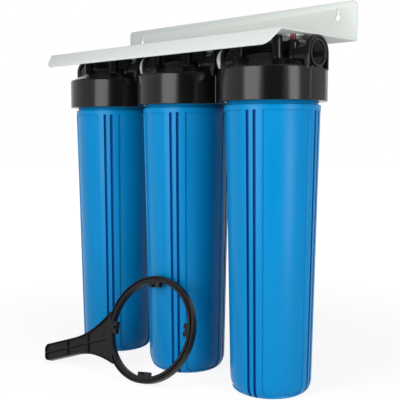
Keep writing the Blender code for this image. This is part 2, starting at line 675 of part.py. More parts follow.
# Pressure relief
def make_relief_buttons():
    """Button with its stem, the spring that lifts it, and the seal that it pulls against the roof."""
    seal_top = CHAMBER_TOP - GAP
    seal_low = seal_top - RELIEF_SEAL_THICKNESS
    flange_top = seal_low - GAP
    flange, rim = RELIEF_FLANGE_RADIUS, RELIEF_BUTTON_RADIUS
    profile = [(flange, flange_top - RELIEF_FLANGE_THICKNESS), (flange, flange_top),
               (RELIEF_STEM_RADIUS, flange_top), (RELIEF_STEM_RADIUS, RELIEF_CAP_Z), (rim, RELIEF_CAP_Z),
               (rim, RELIEF_TOP_Z - RELIEF_BUTTON_EDGE), (rim - RELIEF_BUTTON_EDGE, RELIEF_TOP_Z)]
    button = turned("relief_button", profile, SMALL_SIDES, (RELIEF_X, RELIEF_Y))
    copy_along_row(finish_piece(button, "button_red"), "relief_button")
    hole = RELIEF_STEM_RADIUS + GAP
    seal = turned("relief_seal", [(hole, seal_low), (RELIEF_SEAL_RADIUS, seal_low),
                                  (RELIEF_SEAL_RADIUS, seal_top), (hole, seal_top)],
                  SMALL_SIDES, (RELIEF_X, RELIEF_Y), closed_loop=True)
    copy_along_row(finish_piece(seal, "seal_rubber"), "relief_seal")
    count = SPRING_TURNS * SPRING_STEPS_PER_TURN
    low = RELIEF_WELL_Z + GAP + SPRING_WIRE_RADIUS
    rise = SPRING_LENGTH - 2 * SPRING_WIRE_RADIUS
    centres = [(2 * math.pi * step / SPRING_STEPS_PER_TURN, SPRING_MEAN_RADIUS, low + rise * step / count)
               for step in range(count + 1)]
    turn = 2 * math.pi / SPRING_WIRE_SIDES
    wire = [(SPRING_WIRE_RADIUS * math.cos(turn * side), SPRING_WIRE_RADIUS * math.sin(turn * side))
            for side in range(SPRING_WIRE_SIDES)]
    spring = swept("relief_spring", centres, lambda step: wire)
    spring.data.transform(Matrix.Translation((RELIEF_X, RELIEF_Y, 0)))
    copy_along_row(finish_piece(spring, "spring_steel", 60), "relief_spring")


def make_bolts():
    """Hex bolts with a flange, four for each head, down through the shelf."""
    under = SHELF_TOP + GAP
    hex_low = under + BOLT_FLANGE_THICKNESS
    profile = [(BOLT_RADIUS, under - BOLT_LENGTH), (BOLT_RADIUS, under), (BOLT_FLANGE_RADIUS, under),
               (BOLT_FLANGE_RADIUS, hex_low), (BOLT_HEX_RADIUS, hex_low),
               (BOLT_HEX_RADIUS, hex_low + BOLT_HEX_HEIGHT)]
    bolt = turned("bolt", profile, BOLT_SIDES)
    finish_piece(bolt, "bolt_steel")
    for stage in STAGES:
        for number, (x, y) in enumerate(pillar_places(), start=1):
            add_object(f"bolt_{stage}_{number}", bolt.data, (STAGE_X[stage] + x, y, 0))
    bpy.data.objects.remove(bolt, do_unlink=True)


# Bracket
def bent_sheet(corners):
    """The outline of a sheet of even thickness folded along a path, from its middle line's corners."""
    path = []
    for place, corner in enumerate(corners):
        here = Vector(corner)
        if place in (0, len(corners) - 1):
            other = Vector(corners[1 if place == 0 else place - 1])
            run = (other - here if place == 0 else here - other).normalized()
            path.append((here, Vector((-run.y, run.x))))
            continue
        back = (Vector(corners[place - 1]) - here).normalized()
        ahead = (Vector(corners[place + 1]) - here).normalized()
        half = back.angle(ahead) / 2
        middle = here + (back + ahead).normalized() * (BEND_RADIUS / math.sin(half))
        start = here + back * (BEND_RADIUS / math.tan(half)) - middle
        end = here + ahead * (BEND_RADIUS / math.tan(half)) - middle
        sweep = start.angle_signed(end)
        before = Vector((back.y, -back.x))
        for step in range(BEND_STEPS + 1):
            spin = Matrix.Rotation(-sweep * step / BEND_STEPS, 2)
            path.append((middle + spin @ start, spin @ before))
    one_side = [tuple(point + normal * (SHEET / 2)) for point, normal in path]
    other_side = [tuple(point - normal * (SHEET / 2)) for point, normal in reversed(path)]
    return one_side + other_side


def flange_frame():
    """The slanting flange's length, and a matrix from (along X, down the flange, out) to the part."""
    slope = Vector((0, -FLANGE_FORWARD, -FLANGE_DROP))
    down = slope.normalized()
    along = Vector((1, 0, 0))
    out = along.cross(down)
    matrix = Matrix((along, down, out)).transposed().to_4x4()
    matrix.translation = Vector((0, SHELF_FRONT, SHELF_UNDER + SHEET / 2))
    return slope.length, matrix


def bracket_end_cutters(side):
    """What is cut away at one end: the flange's slanted, rounded end and the plate's rounded top corner."""
    length, matrix = flange_frame()
    half, low = BRACKET_HALF_LENGTH + GAP, length + GAP
    start = BEND_RADIUS + SHEET
    past = half + OVERRUN
    bottom = length + OVERRUN
    across = half - FLANGE_TAPER - 2 * FLANGE_CORNER
    edge = rounded([(half, start), (half - FLANGE_TAPER, low), (across, low)],
                   [0, FLANGE_CORNER, 0], CORNER_ARC_STEPS)
    outline = [(side * x, y) for x, y in [(past, start)] + edge + [(across, bottom), (past, bottom)]]
    cutters = [prism("flange_end", outline, -OVERRUN - SHEET, OVERRUN + SHEET, matrix)]
    run = 2 * PLATE_CORNER
    high, top = PLATE_TOP + GAP, PLATE_TOP + OVERRUN
    edge = rounded([(half, high - run), (half, high), (half - run, high)],
                   [0, PLATE_CORNER, 0], CORNER_ARC_STEPS)
    outline = [(side * x, z) for x, z in [(past, high - run)] + edge + [(half - run, top), (past, top)]]
    upright = Matrix(((1, 0, 0, 0), (0, 0, 1, 0), (0, 1, 0, 0), (0, 0, 0, 1)))
    cutters.append(prism("plate_corner", outline, PLATE_FACE - OVERRUN, PLATE_BACK + OVERRUN, upright))
    centre = (side * (BRACKET_HALF_LENGTH - KEYHOLE_INSET), SHELF_UNDER + KEYHOLE_RISE)
    cutters.append(prism("keyhole", keyhole(centre), PLATE_FACE - OVERRUN, PLATE_BACK + OVERRUN, upright))
    return cutters


def keyhole(centre):
    """A round hole with a narrow slot above it, as one outline."""
    across, up = centre
    half_slot = KEYHOLE_SLOT_WIDTH / 2
    start = math.asin(half_slot / KEYHOLE_RADIUS)
    sweep = 2 * math.pi - 2 * start
    points = []
    for step in range(SMALL_SIDES + 1):
        angle = math.pi / 2 + start + sweep * step / SMALL_SIDES
        points.append((across + KEYHOLE_RADIUS * math.cos(angle), up + KEYHOLE_RADIUS * math.sin(angle)))
    for step in range(CORNER_ARC_STEPS + 1):
        angle = math.pi * step / CORNER_ARC_STEPS
        points.append((across + half_slot * math.cos(angle),
                       up + KEYHOLE_SLOT_RISE + half_slot * math.sin(angle)))
    return points


def make_bracket():
    """The folded sheet bracket: slanting front flange, shelf over the heads, and plate against the wall."""
    middle = SHELF_UNDER + SHEET / 2
    corners = [(SHELF_FRONT - FLANGE_FORWARD, middle - FLANGE_DROP), (SHELF_FRONT, middle),
               (PLATE_FACE + SHEET / 2, middle), (PLATE_FACE + SHEET / 2, PLATE_TOP)]
    bracket = prism("bracket", bent_sheet(corners), -BRACKET_HALF_LENGTH, BRACKET_HALF_LENGTH, facing_x(1))
    cutters = bracket_end_cutters(-1) + bracket_end_cutters(1)
    low, high = SHELF_UNDER - OVERRUN, SHELF_TOP + OVERRUN
    bolt_hole = BOLT_RADIUS + SHELF_HOLE_CLEARANCE
    button_hole = RELIEF_BUTTON_RADIUS + RELIEF_HOLE_CLEARANCE
    for start in STAGE_X.values():
        for x, y in pillar_places():
            hole = [(bolt_hole, low), (bolt_hole, high)]
            cutters.append(turned("bolt_hole", hole, BOLT_SIDES, (start + x, y)))
        hole = [(button_hole, low), (button_hole, high)]
        cutters.append(turned("button_hole", hole, SMALL_SIDES, (start + RELIEF_X, RELIEF_Y)))
    combine(bracket, cutters, "DIFFERENCE")
    finish_piece(bracket, "bracket_paint")


# Wrench
def handle_half_width(distance):
    """Half the handle's width at a distance from the ring's centre."""
    start = WRENCH_RING_RADIUS - WRENCH_RING_WALL
    flare = (WRENCH_REACH - start) * WRENCH_FLARE_SHARE
    share = min(max((distance - start) / flare, 0), 1)
    return WRENCH_END_HALF_WIDTH + (WRENCH_ROOT_HALF_WIDTH - WRENCH_END_HALF_WIDTH) * (1 - share) ** 2


def handle_edge(low, high, inset, steps):
    """Points along one edge of the handle, drawn in by an inset."""
    return [(low + (high - low) * step / steps, handle_half_width(low + (high - low) * step / steps) - inset)
            for step in range(steps + 1)]


def handle_pockets():
    """Outlines of the hollows in the handle, either side of its middle rib and between its cross ribs."""
    start = WRENCH_RING_RADIUS + WRENCH_RIB
    end = WRENCH_REACH - WRENCH_RIB
    half_rib = WRENCH_RIB / 2
    ribs = [start + (end - start) * share for share in WRENCH_CROSS_SHARES]
    stops = [start - half_rib] + ribs + [end + half_rib]
    outlines = []
    for low, high in zip(stops, stops[1:]):
        near, far = low + half_rib, high - half_rib
        edge = handle_edge(near, far, WRENCH_RIB, 3)
        corner = WRENCH_END_CORNER - WRENCH_RIB if far == end else 0
        corners = [(near, half_rib), (far, half_rib)] + edge[::-1]
        radii = [0, 0, corner] + [0] * (len(edge) - 1)
        outline = rounded(corners, radii, 3)
        outlines += [outline, [(x, -y) for x, y in outline]]
    return outlines


def lug_directions():
    """Unit directions, in the wrench's own plane, from the ring's centre to its lugs."""
    for number in range(RIB_SETS):
        angle = math.radians(WRENCH_LUG_OFFSET_DEGREES) + 2 * math.pi * number / RIB_SETS
        yield Vector((math.cos(angle), math.sin(angle)))


def wrench_basis():
    """The wrench's own axes in the part: along the handle, across it, and out of its front."""
    yaw, lean = math.radians(WRENCH_YAW_DEGREES), math.radians(WRENCH_LEAN_DEGREES)
    right = Vector((math.cos(yaw), math.sin(yaw), 0))
    forward = Vector((math.sin(yaw), -math.cos(yaw), 0))
    up = Vector((0, 0, 1)) * math.cos(lean) - forward * math.sin(lean)
    front = forward * math.cos(lean) + Vector((0, 0, 1)) * math.sin(lean)
    reach, half = WRENCH_REACH - WRENCH_END_CORNER, WRENCH_END_HALF_WIDTH - WRENCH_END_CORNER
    drop = WRENCH_RING_RADIUS - WRENCH_END_CORNER
    slope = math.asin(drop / math.hypot(reach, half)) - math.atan2(half, reach)
    handle = -right * math.cos(slope) - up * math.sin(slope)
    return handle, front.cross(handle), front


def wrench_matrix():
    """Leans the wrench on the row, standing on its ring and its handle's end, just clear of the sumps."""
    handle, across, front = wrench_basis()
    lean = math.radians(WRENCH_LEAN_DEGREES)
    centre = Vector((WRENCH_X, 0, WRENCH_RING_RADIUS * math.cos(lean) + WRENCH_DEPTH / 2 * math.sin(lean)))
    turn = 2 * math.pi / WRENCH_RING_SIDES
    outline = [(WRENCH_RING_RADIUS * math.cos(turn * side), WRENCH_RING_RADIUS * math.sin(turn * side))
               for side in range(WRENCH_RING_SIDES)]
    edge = handle_edge(WRENCH_RING_RADIUS, WRENCH_REACH, 0, WRENCH_RING_SIDES)
    outline += edge + [(x, -y) for x, y in edge]
    for x, y in outline:
        point = centre + handle * x + across * y - front * (WRENCH_DEPTH / 2)
        for axis_x in STAGE_X.values():
            radius = band_radius(point.z + THREAD_DROP) + WRENCH_CLEARANCE
            if abs(point.x - axis_x) < radius:
                limit = -math.sqrt(radius ** 2 - (point.x - axis_x) ** 2)
                centre.y = min(centre.y, centre.y + limit - point.y)
    matrix = Matrix((handle, across, front)).transposed().to_4x4()
    matrix.translation = centre
    return matrix


def make_wrench():
    """The ring wrench: a ring with four lugs, and a ribbed handle that flares into it."""
    half = WRENCH_DEPTH / 2
    inner = WRENCH_RING_RADIUS - WRENCH_RING_WALL
    outer = WRENCH_RING_RADIUS
    ring = turned("wrench", [(inner, -half), (outer, -half), (outer, half), (inner, half)],
                  WRENCH_RING_SIDES, closed_loop=True)
    edge = handle_edge(inner + ROOT, WRENCH_REACH, 0, WRENCH_FLARE_STEPS)
    corners = edge + [(x, -y) for x, y in reversed(edge)]
    radii = [0] * len(corners)
    radii[len(edge) - 1] = radii[len(edge)] = WRENCH_END_CORNER
    handle = prism("handle", rounded(corners, radii, CORNER_ARC_STEPS), -half, half)
    past = half + OVERRUN
    hollows = [turned("opening", [(inner + ROOT, -past), (inner + ROOT, past)], WRENCH_RING_SIDES)]
    for outline in handle_pockets():
        hollows.append(prism("pocket", outline, WRENCH_WEB / 2, past))
        hollows.append(prism("pocket", outline, -past, -WRENCH_WEB / 2))
    combine(handle, hollows, "DIFFERENCE")
    shapes = [handle]
    for direction in lug_directions():
        side = Vector((-direction.y, direction.x)) * (WRENCH_LUG_WIDTH / 2)
        near, far = direction * (inner - WRENCH_LUG_REACH), direction * (inner + ROOT)
        outline = [tuple(point) for point in (near - side, far - side, far + side, near + side)]
        shapes.append(prism("lug", outline, half - WRENCH_LUG_DEPTH, half - ROOT))
    combine(ring, shapes, "UNION")
    ring.data.transform(wrench_matrix())
    finish_piece(ring, "wrench_plastic")


def main():
    """Builds every piece in its place."""
    clear_scene()
    make_finishes()
    make_sumps()
    make_rim_seals()
    make_cartridges()
    make_heads()
    make_nipples()
    make_relief_buttons()
    make_bolts()
    make_bracket()
    make_wrench()


main()
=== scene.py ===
"""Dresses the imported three-stage filter housing with finer pieces, finishes, a studio and a camera.

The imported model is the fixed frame. Each piece made here stands for a node of it, sits where that
node sits, and rides on its body. Metres, +Z up, the row along X, the wall side towards +Y.
"""
import math

import bmesh
import bpy
from mathutils import Matrix, Vector


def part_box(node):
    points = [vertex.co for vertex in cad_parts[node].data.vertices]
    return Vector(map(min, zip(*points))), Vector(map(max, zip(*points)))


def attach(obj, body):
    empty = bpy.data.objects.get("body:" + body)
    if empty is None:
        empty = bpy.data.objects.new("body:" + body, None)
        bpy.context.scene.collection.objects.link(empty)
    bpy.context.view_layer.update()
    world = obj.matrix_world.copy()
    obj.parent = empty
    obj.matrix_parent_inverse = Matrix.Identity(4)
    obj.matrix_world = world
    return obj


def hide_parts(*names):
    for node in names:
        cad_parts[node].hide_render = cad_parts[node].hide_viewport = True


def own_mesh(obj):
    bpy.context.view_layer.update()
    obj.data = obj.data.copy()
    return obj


bl_info = {
    "name": "Three-stage filter housing",
    "version": (1, 0, 0),
    "blender": (4, 5, 0),
    "location": "3D View > Sidebar > Filter housing",
    "description": "Builds the finished filter housing round its packed frame",
    "category": "Object",
}

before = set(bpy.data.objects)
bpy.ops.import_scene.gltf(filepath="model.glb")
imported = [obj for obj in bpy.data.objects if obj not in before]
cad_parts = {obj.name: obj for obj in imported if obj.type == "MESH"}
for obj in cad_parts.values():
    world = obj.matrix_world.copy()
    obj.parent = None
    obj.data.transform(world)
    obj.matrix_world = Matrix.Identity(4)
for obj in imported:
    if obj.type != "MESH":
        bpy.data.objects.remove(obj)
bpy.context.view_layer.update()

PITCH = 0.2
STAGE_X = {"left": -PITCH, "middle": 0, "right": PITCH}
RIB_TURN_DEGREES = {"left": 37.7, "middle": 27.8, "right": 12.3}

# Sides of round shapes
SUMP_ROUND = 360
ROUND = 180
HEAD_ROUND = 144
MEDIUM = 64
SMALL = 32

# How far shapes reach past a face, into a joined shape, or stay apart, and a fine edge's width
PAST = 0.003
LAP = 0.001
GAP = 0.0003
EDGE = 0.0004

# Sump
SHOULDER_Z = 0.484
COLLAR_LOW = 0.476
RIM_Z = 0.521
NECK = 0.0765
RIM_INSIDE = 0.0685
FLOOR_INSIDE = 0.0645
SEAL_MIDDLE = 0.0725
SEAL_WIRE = 0.00175
SEAL_LOW = 0.518
CORNER_HEIGHT = 0.025
CORNER_WIDTH = 0.0135
CORNER_DEGREES = (8, 20, 32, 44, 56, 68, 79, 90)
WALL_HEIGHTS = (0.10, 0.20, 0.30, 0.40, 0.4745)
BAND_HALF_DEGREES = 14.5
BAND_OFF_DEGREES = 0.5
GROOVE_DEGREES = (2.5, 6.5)
PANEL_LOW = 0.0038
PANEL_CORNER = 0.013
PANEL_STEPS = 4
FOOT_FLAT = 0.0002
OUTSIDE_FROM = FLOOR_INSIDE - 0.010
THREAD_LOW = 0.4986
THREAD_RISE = 0.015
THREAD_TURNS = 2.5
THREAD_WIRE = 0.0017
THREAD_REACH = 0.0768

# Head
HEAD_LOW = 0.4895
RING_TOP = 0.5445
PORT_Z = 0.5646
PORT_FACE = 0.092
PLATE_INNER = 0.084
HEAD_SEAT = 0.5926
CHAMBER_TOP = 0.537
PIPE_RADIUS = 0.024
PILLAR_AWAY = 0.039
PILLARS = [(x, y) for x in (-PILLAR_AWAY, PILLAR_AWAY) for y in (-PILLAR_AWAY, PILLAR_AWAY)]
RELIEF_AT = (0.056, -0.020)
WELL_LOW = 0.5645
PORT_SHOULDER = 0.068
PORT_THREAD_LENGTH = 0.0176
PORT_THREAD_WIRE = 0.0011
RECESS_DEPTH = 0.003
POCKET_DEPTH = 0.0065
RECESS_HALF = 0.0246
RECESS_DROP = 0.024
BOSS_RADIUS = 0.0222
POCKET_NEAR = 0.0156
POCKET_DROP = 0.023
POCKET_SIZE = 0.008
PLATE_HALF = 0.028
FOOT_HALF = 0.0205
BARREL_DROP = 0.004
WATERWAY = 0.011
TUBE_LOW = 0.521
TUBE_BORE = 0.009
DROP_X = -0.050
BOLT_BORE = 0.0034
BOLT_DEPTH = 0.022
STEM_BORE = 0.0027
WELL_BORE = 0.0055
NIPPLE_HALF = 0.0077
NIPPLE_REACH = 0.0267
NIPPLE_PIPE = 0.0166
NIPPLE_BORE = 0.0115
NIPPLE_EDGE = 0.0008
SPRING_WIRE = 0.0004
SPRING_REACH = 0.0038
SPRING_RISE = 0.0127
SPRING_TURNS = 4

# Bracket
SHELF_UNDER = 0.5929
SHELF_TOP = 0.5954
SHEET = 0.0025
SHELF_FRONT = -0.0937
PLATE_MIDDLE_Y = 0.11775
PLATE_TOP = 0.6624
BRACKET_HALF = 0.2885
LIP_OUT = 0.021
LIP_DROP = 0.0248
LIP_LINE = 0.013
LIP_DRAWN_IN = 0.012
FOLD_DRAWN_IN = 0.0072
LIP_CORNER = 0.0105
PLATE_LINE = 0.009
PLATE_CORNER = 0.0088
FOLD_RADIUS = 0.003
BOLT_HOLE = 0.0035
BUTTON_HOLE = 0.0165
KEYHOLE_AT = (0.25, PLATE_MIDDLE_Y, SHELF_UNDER + 0.043)
KEYHOLE_RADIUS = 0.005
SLOT_HALF = 0.0023
SLOT_LENGTH = 0.0125

# Wrench
WRENCH_REACH = 0.2495
WRENCH_END_HALF = 0.0158
WRENCH_ROOT_HALF = 0.049
WRENCH_CORNER = 0.009
WRENCH_FLARE = 0.55
LUG_DEGREES = -12.4
CROSS_SHARES = (0.30, 0.64)
CROSS_REACH = 0.1
WEB_HALF = 0.0028
RING_EDGE = 0.0012
LUG_HALF = 0.0115
NOTCH_HALF = 0.003
LEAN = math.radians(20.4)
YAW = math.radians(7.6)

# Studio, with the place, target and size of the lamps and the card
FRONT_SOFTBOX = ((0.10, -1.25, 0.74), (0.1, 0, 0.42), (0.75, 1.3))
SIDE_SOFTBOX = ((1.35, -0.18, 0.62), (0.2, 0, 0.42), (0.42, 1.3))
CARD = ((1.20, -1.22, 0.75), (0.1, 0, 0.42), (1.15, 1.7))
FLOOR_RADIUS = 9
FLOOR_Z = -0.0006
CAMERA_AT = (0.96608, -0.99176, 0.43195)
CAMERA_DEGREES = (85.1, 0, 43.23)
SENSOR_MM = 36
LENS_MM = 66.53


def measure(name, default, description, unit="LENGTH"):
    """A length or other number of a look."""
    return bpy.props.FloatProperty(name=name, description=description, default=default,
                                   unit=unit)


def tint(name, default, description):
    """A colour of a look."""
    return bpy.props.FloatVectorProperty(name=name, description=description, size=4, min=0,
                                         max=1, default=(*default, 1), subtype="COLOR")


class SumpLook(bpy.types.PropertyGroup):
    """Sizes and colours of the blue sumps, and the shade painted into their grooves."""

    foot_radius: measure("Foot radius", 0.0705, "Outer radius that the taper has at the foot")
    shoulder_radius: measure("Shoulder radius", 0.0808, "Outer radius under the neck")
    panel_depth: measure("Panel depth", 0.0023, "How far the panels lie inside the rib bands")
    groove_depth: measure("Groove depth", 0.0050, "Depth of the two grooves in each rib band")
    colour: tint("Colour", (0.0002, 0.190, 0.435), "Colour of the moulded plastic")
    # Painted shade: a darker blue laid on the grooves' deep faces, not a colour of the plastic.
    painted_groove_shade: tint("Groove painted shade", (0.0004, 0.10, 0.31), "Colour in the grooves' shade")


class HeadLook(bpy.types.PropertyGroup):
    """Sizes and colour of the black heads."""

    ring_radius: measure("Ring radius", 0.0915, "Outer radius of the ring that holds the sump")
    pillar_radius: measure("Pillar radius", 0.0085, "Radius of the four pillars")
    port_radius: measure("Port radius", 0.0169, "Inner radius of the port's thread")
    thread_pitch: measure("Port thread pitch", 0.0022, "Rise of the port's thread in one turn")
    colour: tint("Colour", (0.004, 0.004, 0.004), "Colour of the moulded plastic")


class FittingLook(bpy.types.PropertyGroup):
    """Sizes and colours of the nipples and relief buttons, with shade painted into the buttons' red.
    """

    collar_radius: measure("Collar radius", 0.0203, "Radius of a nipple between two heads")
    button_radius: measure("Button radius", 0.005, "Radius of the pressure relief button")
    nipple_colour: tint("Nipple colour", (0.66, 0.67, 0.66), "Colour of the nipples")
    # Painted shade: the buttons' own red, darkened for the shade they sit in under the shelf.
    button_painted_shade_colour: tint("Button colour with painted shade", (0.13, 0.004, 0.012), "Colour of the relief buttons")


class BracketLook(bpy.types.PropertyGroup):
    """Colour of the folded bracket."""

    colour: tint("Colour", (0.585, 0.615, 0.57), "Colour of the paint")


class WrenchLook(bpy.types.PropertyGroup):
    """Sizes and colour of the ring wrench."""

    ring_radius: measure("Ring radius", 0.095, "Outer radius of the ring")
    ring_wall: measure("Ring wall", 0.0115, "Width of the ring's front")
    depth: measure("Depth", 0.013, "Thickness from front to back")
    rib: measure("Rib width", 0.0022, "Width of the ribs in the handle")
    colour: tint("Colour", (0.006, 0.006, 0.0065), "Colour of the moulded plastic")


class StudioLook(bpy.types.PropertyGroup):
    """Light levels of the studio."""

    key_power: measure("Front softbox", 18, "Power of the softbox in front of the row", "POWER")
    side_power: measure("Side softbox", 12.5, "Power of the softbox at the outlet end", "POWER")
    surround: measure("Surround", 0.15, "Strength of the even light from all round", "NONE")


def leave_edit():
    """Back in object mode with nothing selected."""
    if bpy.context.object is not None and bpy.context.object.mode != "OBJECT":
        bpy.ops.object.mode_set(mode="OBJECT")
    bpy.ops.object.select_all(action="DESELECT")


def hold(piece):
    """Selects one piece alone and makes it the active one."""
    leave_edit()
    piece.select_set(True)
    bpy.context.view_layer.objects.active = piece


def edit(piece, action="DESELECT"):
    """Opens one piece in edit mode with nothing selected, or with everything."""
    hold(piece)
    bpy.ops.object.mode_set(mode="EDIT")
    bpy.ops.mesh.select_mode(type="FACE")
    bpy.ops.mesh.select_all(action=action)


def pick(piece, kind, test):
    """In edit mode, selects the faces, edges or corners whose middle passes a test."""
    bpy.ops.mesh.select_mode(type=kind)
    bpy.ops.mesh.select_all(action="DESELECT")
    mesh = bmesh.from_edit_mesh(piece.data)
    if kind == "FACE":
        for face in mesh.faces:
            face.select_set(test(face.calc_center_median(), face.normal))
    elif kind == "VERT":
        for corner in mesh.verts:
            corner.select_set(test(corner.co, corner.normal))
    else:
        for edge in mesh.edges:
            start, end = (corner.co for corner in edge.verts)
            if test((start + end) / 2, end - start):
                edge.select_set(True)
    bmesh.update_edit_mesh(piece.data)


def name_it(name):
    """Names the new object and puts its place in its mesh."""
    piece = bpy.context.object
    piece.name = name
    piece.data.name = name
    bpy.ops.object.transform_apply(location=True, rotation=True, scale=True)
    return piece


def primitive(kind, name, scale=(1, 1, 1), **settings):
    """Adds one of the basic meshes under a name, with its place and scale in its mesh."""
    leave_edit()
    getattr(bpy.ops.mesh, f"primitive_{kind}_add")(**settings)
    bpy.context.object.scale = scale
    return name_it(name)


def settle(piece, place=(0, 0, 0), axis="z", turn=0, name=None):
    """Turns a piece about one axis, moves it, and puts both in its mesh."""
    setattr(piece.rotation_euler, axis, turn)
    piece.location = place
    hold(piece)
    return name_it(name or piece.name)


def face_out(piece):
    """Turns every face of a closed piece outwards."""
    edit(piece, "SELECT")
    bpy.ops.mesh.normals_make_consistent(inside=False)
    leave_edit()
    return piece


def draw_out(x, y, z):
    """In edit mode, extrudes what is selected."""
    bpy.ops.mesh.extrude_region_move(TRANSFORM_OT_translate={"value": (x, y, z)})


def turned(name, profile, sides, centre=(0, 0)):
    """A disc drawn up through a profile of (radius, height) points, closed at both ends."""
    radius, height = profile[0]
    piece = primitive("circle", name, vertices=sides, radius=radius, fill_type="NGON",
                      location=(*centre, height))
    edit(piece, "SELECT")
    for (radius, height), (wider, higher) in zip(profile, profile[1:]):
        draw_out(0, 0, higher - height)
        if wider != radius:
            share = wider / radius
            bpy.ops.transform.resize(value=(share, share, 1), center_override=(*centre, higher))
    return face_out(piece)


def rod(name, radius, low, high, sides, centre=(0, 0)):
    """An upright round bar."""
    return turned(name, [(radius, low), (radius, high)], sides, centre)


def lone_edge(name, start, length, axis):
    """One edge along X or Y through a point, open for drawing a sheet out of it."""
    side = 1 - axis
    place = Vector(start)
    place[side] -= 0.5
    scale = [1, 1, 1]
    scale[axis] = length
    piece = primitive("plane", name, scale, size=1, location=place)
    edit(piece)
    pick(piece, "EDGE", lambda middle, line: middle[side] < place[side] + PAST)
    bpy.ops.mesh.delete(type="EDGE")
    pick(piece, "EDGE", lambda middle, line: True)
    return piece


def bar_along_x(name, radius, low, high, sides=MEDIUM):
    """A round bar along X at the ports' height."""
    return primitive("cylinder", name, vertices=sides, radius=radius, depth=high - low,
                     location=((low + high) / 2, 0, PORT_Z), rotation=(0, math.pi / 2, 0))


def block(name, low, high):
    """A rectangular block between two corners."""
    low, high = Vector(low), Vector(high)
    return primitive("cube", name, high - low, size=1, location=(low + high) / 2)


def apply(piece, kind, **settings):
    """Gives a piece one modifier and applies it."""
    hold(piece)
    step = piece.modifiers.new("Step", kind)
    for name, value in settings.items():
        setattr(step, name, value)
    bpy.ops.object.modifier_apply(modifier=step.name)
    return piece


def soften(piece, width, segments=2, degrees=30):
    """Rounds the sharp edges of a piece."""
    return apply(piece, "BEVEL", width=width, segments=segments, limit_method="ANGLE",
                 angle_limit=math.radians(degrees))


def join(base, *others, operation="UNION"):
    """Joins shapes to a base."""
    for other in others:
        apply(base, "BOOLEAN", operation=operation, solver="MANIFOLD", object=other)
        bpy.data.objects.remove(other)
    return base


def cut(base, *others):
    """Cuts shapes from a base."""
    return join(base, *others, operation="DIFFERENCE")


def merge(base, others):
    """Puts several closed shells in one object."""
    hold(base)
    for other in others:
        other.select_set(True)
    bpy.ops.object.join()
    return base


def coil(name, wire, reach, low, rise, turns, steps, sides):
    """A wire wound up round the Z axis, with closed ends."""
    piece = primitive("circle", name, vertices=sides, radius=wire, fill_type="NOTHING",
                      location=(reach, 0, low), rotation=(math.pi / 2, 0, 0))
    apply(piece, "SCREW", angle=2 * math.pi * turns, screw_offset=rise, steps=steps,
          render_steps=steps)
    edit(piece, "SELECT")
    bpy.ops.mesh.fill_holes(sides=sides)
    return face_out(piece)


def copy_of(piece, name, shift, turn=0):
    """A copy with its own mesh, turned about Z and then moved."""
    hold(piece)
    bpy.ops.object.duplicate()
    return settle(bpy.context.object, shift, "z", turn, name)


def dress(piece, finish, body, nodes=(), smooth_degrees=32):
    """Gives a piece its place in the frame, and its finish unless that is None."""
    hold(piece)
    if finish is not None:
        piece.data.materials.clear()
        piece.data.materials.append(finish)
    bpy.ops.object.shade_smooth_by_angle(angle=math.radians(smooth_degrees))
    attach(piece, body)
    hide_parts(*nodes)
    leave_edit()


def set_inputs(node, values):
    """Sets the values of a shader node's inputs by name."""
    for name, value in values.items():
        node.inputs[name].default_value = value
    return node


def add_node(tree, kind, values=None, **settings):
    """Adds a shader node, with its settings first and then its inputs' values."""
    node = tree.nodes.new(kind)
    for name, value in settings.items():
        setattr(node, name, value)
    return set_inputs(node, values or {})


def connect(tree, *rows):
    """Links sockets, each row naming a node and its output, then a node and its input."""
    for source, output, target, into in rows:
        tree.links.new(source.outputs[output], target.inputs[into])


def new_material(name, values):
    """A new material with some values set in its shader."""
    finish = bpy.data.materials.new(name)
    finish.use_nodes = True
    set_inputs(finish.node_tree.nodes["Principled BSDF"], values)
    return finish


def moulded_skin_group():
    """Grain, patchiness and uneven gloss of a moulded or painted surface, by the place on it."""
    if "moulded_skin" in bpy.data.node_groups:
        return bpy.data.node_groups["moulded_skin"]
    group = bpy.data.node_groups.new("moulded_skin", "ShaderNodeTree")
    for way, kind, names in (
            ("INPUT", "Float", ("Grain Size", "Patch Size", "Gloss Low", "Gloss High")),
            ("INPUT", "Color", ("Colour", "Patch Colour")), ("OUTPUT", "Color", ("Colour",)),
            ("OUTPUT", "Float", ("Roughness", "Height"))):
        for name in names:
            group.interface.new_socket(name, in_out=way, socket_type=f"NodeSocket{kind}")
    given = add_node(group, "NodeGroupInput")
    result = add_node(group, "NodeGroupOutput")
    place = add_node(group, "ShaderNodeTexCoord")
    grain = add_node(group, "ShaderNodeTexNoise", {"Detail": 3})
    patch = add_node(group, "ShaderNodeTexNoise", {"Detail": 4})
    blend = add_node(group, "ShaderNodeMix", data_type="RGBA")
    gloss = add_node(group, "ShaderNodeMapRange")
    connect(group, (place, "Object", grain, "Vector"), (place, "Object", patch, "Vector"),
            (given, "Grain Size", grain, "Scale"), (given, "Patch Size", patch, "Scale"),
            (patch, "Fac", blend, "Factor"), (given, "Colour", blend, "A"),
            (given, "Patch Colour", blend, "B"), (patch, "Fac", gloss, "Value"),
            (given, "Gloss Low", gloss, "To Min"), (given, "Gloss High", gloss, "To Max"),
            (blend, "Result", result, "Colour"), (gloss, "Result", result, "Roughness"),
            (grain, "Fac", result, "Height"))
    return group


